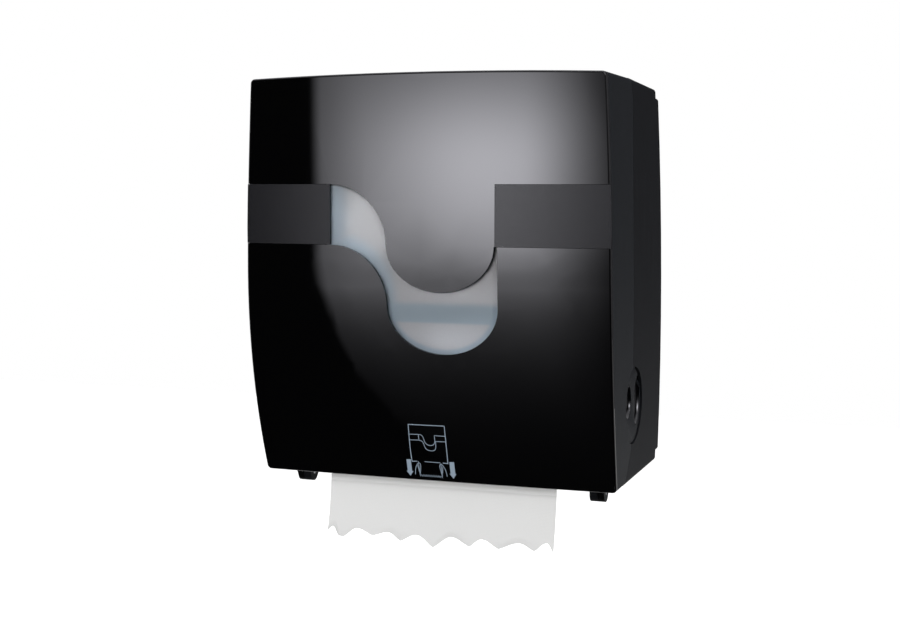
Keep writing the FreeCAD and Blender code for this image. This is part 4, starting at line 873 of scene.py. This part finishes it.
def dense(points, step=0.8):
    """The same line with points no further apart than about a step."""
    out = [points[0]]
    for a, b in zip(points, points[1:]):
        count = max(1, int((b - a).length / step))
        out += [a + (b - a) * (i / count) for i in range(1, count + 1)]
    return out


def rounded(points, times=2):
    """Cuts a line's corners, and keeps its ends."""
    for _ in range(times):
        new = [points[0]]
        for a, b in zip(points, points[1:]):
            new += [a * 0.75 + b * 0.25, a * 0.25 + b * 0.75]
        points = new + [points[-1]]
    return points


def printed_rows(mesh, rows):
    """Fills rows of (X, height) points with faces."""
    corners = [[mesh.verts.new((p[0], 0.0, p[1])) for p in row] for row in rows]
    for a, b in zip(corners, corners[1:]):
        for k in range(len(a) - 1):
            mesh.faces.new((a[k], b[k], b[k + 1], a[k + 1]))


def printed_line(mesh, width, points, round_off=True):
    """A line of even width through points of (X, height)."""
    points = [Vector(p) for p in points]
    points = dense(rounded(points) if round_off else points)
    rows = []
    for i, p in enumerate(points):
        run = (points[min(len(points) - 1, i + 1)] - points[max(0, i - 1)]).normalized()
        across = Vector((-run.y, run.x)) * (width / 2)
        rows.append((p - across, p + across))
    printed_rows(mesh, rows)


def printed_patch(mesh, left, right):
    """A filled shape between two outlines that have as many points as each other."""
    printed_rows(mesh, [[(a[0] + (b[0] - a[0]) * k / 4, a[1] + (b[1] - a[1]) * k / 4)
                         for k in range(5)] for a, b in zip(left, right)])


def pull_symbol():
    """The printed pull symbol: a dispenser's outline, two hands and two arrows that point
    down."""
    mesh = bmesh.new()
    thin, line, fine = 0.55, 0.7, 0.42

    # The dispenser's outline, its band and its wave.
    printed_line(mesh, line, [(-18.2, 52.3), (15.2, 52.6)], False)
    printed_line(mesh, line, [(15.2, 52.8), (15.3, 44.0), (15.4, 30.0), (15.2, 17.4)])
    printed_line(mesh, line, [(15.4, 17.8), (10.5, 18.0)], False)
    printed_line(mesh, thin, [(8.0, 18.0), (-6.5, 18.2)], False)
    printed_line(mesh, line, [(-18.2, 52.5), (-18.5, 40.0), (-18.7, 28.8), (-18.3, 17.4)])
    printed_line(mesh, line, [(-18.5, 17.7), (-13.5, 18.1)], False)
    printed_line(mesh, thin, [(-18.4, 43.2), (-9.6, 43.5), (-9.6, 38.2), (-18.4, 38.0)], False)
    printed_line(mesh, thin, [(15.3, 43.2), (5.2, 43.3), (5.2, 37.9), (15.3, 38.1)], False)
    printed_line(mesh, thin, [(-9.5, 43.5), (-6.6, 43.2), (-5.2, 40.6), (-4.4, 36.6),
                              (-2.2, 34.2), (1.0, 33.6), (4.2, 34.8), (5.2, 38.0)])
    printed_line(mesh, thin, [(-9.8, 38.2), (-7.4, 38.0), (-5.4, 35.6), (-4.9, 31.8),
                              (-2.6, 29.2), (0.8, 28.7), (4.2, 29.3), (5.7, 32.0), (5.7, 37.8)])

    # The towel with its torn edge.
    printed_line(mesh, thin, [(-12.4, 18.0), (-12.3, 12.0), (-12.2, 5.0)], False)
    printed_line(mesh, thin, [(8.6, 17.8), (8.6, 12.0), (8.7, 5.0)], False)
    teeth = [(-12.2 + 20.9 * i / 18, 3.7 + (2.1 if i % 2 else 0.0)) for i in range(19)]
    printed_line(mesh, fine, teeth, False)

    # The hands, each with its thumb's line.
    printed_line(mesh, thin, [(-16.6, 5.4), (-16.0, 10.6), (-14.6, 14.2), (-12.4, 16.8),
                              (-10.8, 16.2), (-10.6, 13.4), (-11.2, 10.2), (-11.9, 6.6)])
    printed_line(mesh, thin, [(-13.6, 14.6), (-12.9, 11.2), (-12.6, 8.4)])
    printed_line(mesh, thin, [(13.2, 5.4), (12.6, 10.6), (11.2, 14.2), (9.2, 16.8), (7.4, 16.2),
                              (7.2, 13.4), (7.8, 10.2), (8.5, 6.6)])
    printed_line(mesh, thin, [(10.2, 14.6), (9.6, 11.2), (9.3, 8.4)])

    # The arrows' shafts and heads.
    for x0, x1 in ((-23.5, -19.4), (16.7, 21.0)):
        middle = (x0 + x1) / 2
        printed_patch(mesh, [(x0, 19.3), (x0, 16.0), (x0, 12.0), (x0, 8.2)],
                      [(x1, 19.5), (x1, 16.0), (x1, 12.0), (x1, 8.2)])
        printed_patch(mesh, [(middle - 3.2, 8.3), (middle - 1.6, 6.0), (middle - 0.1, 3.7)],
                      [(middle + 3.2, 8.3), (middle + 1.6, 6.0), (middle + 0.1, 3.7)])

    stand_off, ink_thickness = 0.05, 0.08
    for vertex in mesh.verts:
        x, h = vertex.co.x, vertex.co.z
        vertex.co = (x * MM, (front_y(x, h) - stand_off) * MM, height_z(h))
    data = bpy.data.meshes.new("Pull_symbol")
    mesh.to_mesh(data)
    mesh.free()
    piece = new_piece("Pull_symbol", data)
    thicken(piece, "Ink", ink_thickness)
    outward(piece, merge=False)
    settle(piece, "Pull_symbol", [print_grey], "cover", "band_grey")


hung_towel()
fed_web()
wound_roll()
feed_wheel()
extension_spring("Booster_coil", -131.7, (-108.35, 60.06), (-40.0, 30.0), coil=4.5, wire_size=0.9,
                 eye=3.3, reach=9.0, turns=52, node="booster_spring")
for side, hand in ((1, "right"), (-1, "left")):
    extension_spring("Pinch_coil_" + hand, side * 124.0, (-167.1, 58.0), (-167.1, 103.8),
                     coil=3.0, wire_size=0.8, eye=2.3, reach=4.0, turns=34,
                     node="pinch_spring_" + hand)
    arm_torsion_spring("Arm_coil_" + hand, side, "arm_spring_" + hand)
pull_symbol()


# Stage, light and camera

def make_world():
    """White for the camera and plain light on the object. Reflections see a lamp pattern: a
    large soft lamp with a straight left edge, a strip beside it with a small bright spot, a
    light overhead, and a faint glow behind and beside."""
    world = bpy.data.worlds.new("Studio")
    bpy.context.scene.world = world
    world.use_nodes = True
    world.cycles.sampling_method = "NONE"
    tree = world.node_tree
    background = tree.nodes["Background"]
    x, y, z = axes(tree, coordinates(tree, "Generated"))
    ahead = larger(tree, times(tree, y, -1.0), 0.02)
    u = over(tree, x, ahead)
    root_two = math.sqrt(2)

    def glow(across, wide, up, tall):
        """A spot that fades from its middle; across and up say how far off it a ray is."""
        parts = [maths(tree, "POWER", over(tree, off, size), 2.0)
                 for off, size in ((across, wide), (up, tall))]
        return maths(tree, "EXPONENT", times(tree, plus(tree, *parts), -1.0))

    # The large lamp: a plateau that fades downwards, and a brighter spot on it.
    left = spread(tree, u, -0.5065, -0.489)
    left = times(tree, left, spread(tree, u, -0.51, -0.43, 0.65, 1.0))
    right = spread(tree, u, -0.145, -0.262)
    low = maths(tree, "MINIMUM", plus(tree, z, 0.15), 0.0)
    plateau = times(tree, maths(tree, "EXPONENT", times(tree, low, 9.0)), 2.0)
    above = minus(tree, z, 0.01)
    tall = spread(tree, above, -0.005, 0.005, 0.052 * root_two, 0.04 * root_two)
    spot = glow(plus(tree, u, 0.2965), 0.095 * root_two, above, tall)
    lamp = plus(tree, plateau, times(tree, spot, 8.3))
    lamp = times(tree, times(tree, lamp, left), right)
    lamp = times(tree, lamp, spread(tree, z, 0.35, 0.15))

    # The strip beside it, and the small spot that the hand wheel's scoops catch.
    strip = times(tree, spread(tree, u, -0.02, 0.25), spread(tree, u, 1.3, 0.7))
    strip = times(tree, strip, spread(tree, z, -0.12, 0.5, 0.0, 1.1))
    small = glow(minus(tree, u, 0.62), 0.2, minus(tree, z, 0.40), 0.13)
    strip = plus(tree, strip, times(tree, small, 14.0))
    front = times(tree, plus(tree, lamp, strip), spread(tree, y, 0.0, -0.15))

    # Overhead, behind and beside.
    top = spread(tree, z, 0.55, 0.85, 0.0, 1.3)
    behind = spread(tree, y, 0.05, 0.3, 0.0, 0.1)
    beside = times(tree, spread(tree, maths(tree, "ABSOLUTE", x), 0.78, 0.97),
                   spread(tree, z, -0.5, 0.5, 0.25, 0.9))
    glossy = plus(tree, plus(tree, front, top), plus(tree, behind, beside))
    glossy = plus(tree, glossy, 0.012)

    plain_level = 0.42
    rays = add(tree, "ShaderNodeLightPath").outputs
    shiny = larger(tree, rays["Is Glossy Ray"], rays["Is Transmission Ray"])
    level = plus(tree, times(tree, minus(tree, 1.0, shiny), plain_level),
                 times(tree, shiny, glossy))
    camera = rays["Is Camera Ray"]
    level = plus(tree, times(tree, minus(tree, 1.0, camera), level), camera)
    wire(tree, level, background.inputs["Strength"])
    white, cool_white = (1.0, 1.0, 1.0, 1.0), (0.985, 0.98, 1.05, 1.0)
    wire(tree, tint(tree, shiny, white, cool_white), background.inputs["Color"])


def make_floor():
    """A pale floor that keeps the object's shadow. It looks dimmer in reflections, and in front
    of the wall they pass through it."""
    bpy.ops.mesh.primitive_plane_add(size=9.0, location=(0, 0, -0.9))
    floor = bpy.context.object
    floor.name = "studio_floor"
    material, tree, shader = new_material("Pale floor")
    set_inputs(shader, Base_Color=(0.86, 0.86, 0.86, 1), Roughness=0.9)
    rays = add(tree, "ShaderNodeLightPath").outputs
    seen = larger(tree, rays["Is Camera Ray"], rays["Is Glossy Ray"])
    seen = larger(tree, seen, rays["Is Transmission Ray"])
    dim = minus(tree, 1.0, times(tree, rays["Is Glossy Ray"], 0.86))
    emission = add(tree, "ShaderNodeEmission")
    wire(tree, times(tree, times(tree, seen, 0.72), dim), emission.inputs["Strength"])
    both = add(tree, "ShaderNodeAddShader")
    wire(tree, shader.outputs[0], both.inputs[0])
    wire(tree, emission.outputs[0], both.inputs[1])
    in_front = spread(tree, axes(tree, coordinates(tree))["Y"], 0.4, 0.0)
    open_floor = add(tree, "ShaderNodeBsdfTransparent")
    mixed = add(tree, "ShaderNodeMixShader")
    wire(tree, times(tree, in_front, rays["Is Glossy Ray"]), mixed.inputs[0])
    wire(tree, both.outputs[0], mixed.inputs[1])
    wire(tree, open_floor.outputs[0], mixed.inputs[2])
    wire(tree, mixed.outputs[0], tree.nodes["Material Output"].inputs["Surface"])
    floor.data.materials.append(material)


def make_lamp(name, place, size, power):
    """A round soft lamp aimed at the case, which reflections don't show."""
    data = bpy.data.lights.new(name, "AREA")
    data.shape = "DISK"
    data.size = size
    data.energy = power
    lamp = bpy.data.objects.new(name, data)
    bpy.context.scene.collection.objects.link(lamp)
    aim = Vector((0, -0.1, 0))
    lamp.location = place
    lamp.rotation_euler = (aim - Vector(place)).to_track_quat("-Z", "Y").to_euler()
    lamp.visible_glossy = False
    lamp.visible_camera = False


def make_camera():
    data = bpy.data.cameras.new("Product camera")
    data.lens = 57.32
    data.sensor_width = 36.0
    camera = bpy.data.objects.new("Product camera", data)
    bpy.context.scene.collection.objects.link(camera)
    camera.location = (0.4224, -1.3608, 0.0867)
    camera.rotation_euler = (math.radians(84.64), 0, math.radians(19.14))
    bpy.context.scene.camera = camera


make_world()
make_floor()
make_lamp("Key lamp", place=(-1.2, -2.5, 0.75), size=1.6, power=40.0)
make_lamp("Fill lamp", place=(1.9, -1.7, 0.5), size=1.4, power=14.0)
make_lamp("Top lamp", place=(0.0, 0.2, 2.2), size=1.6, power=14.0)
make_lamp("Rear lamp", place=(-0.8, 2.4, 0.9), size=1.6, power=22.0)
make_camera()
bpy.context.scene.view_settings.view_transform = "Standard"
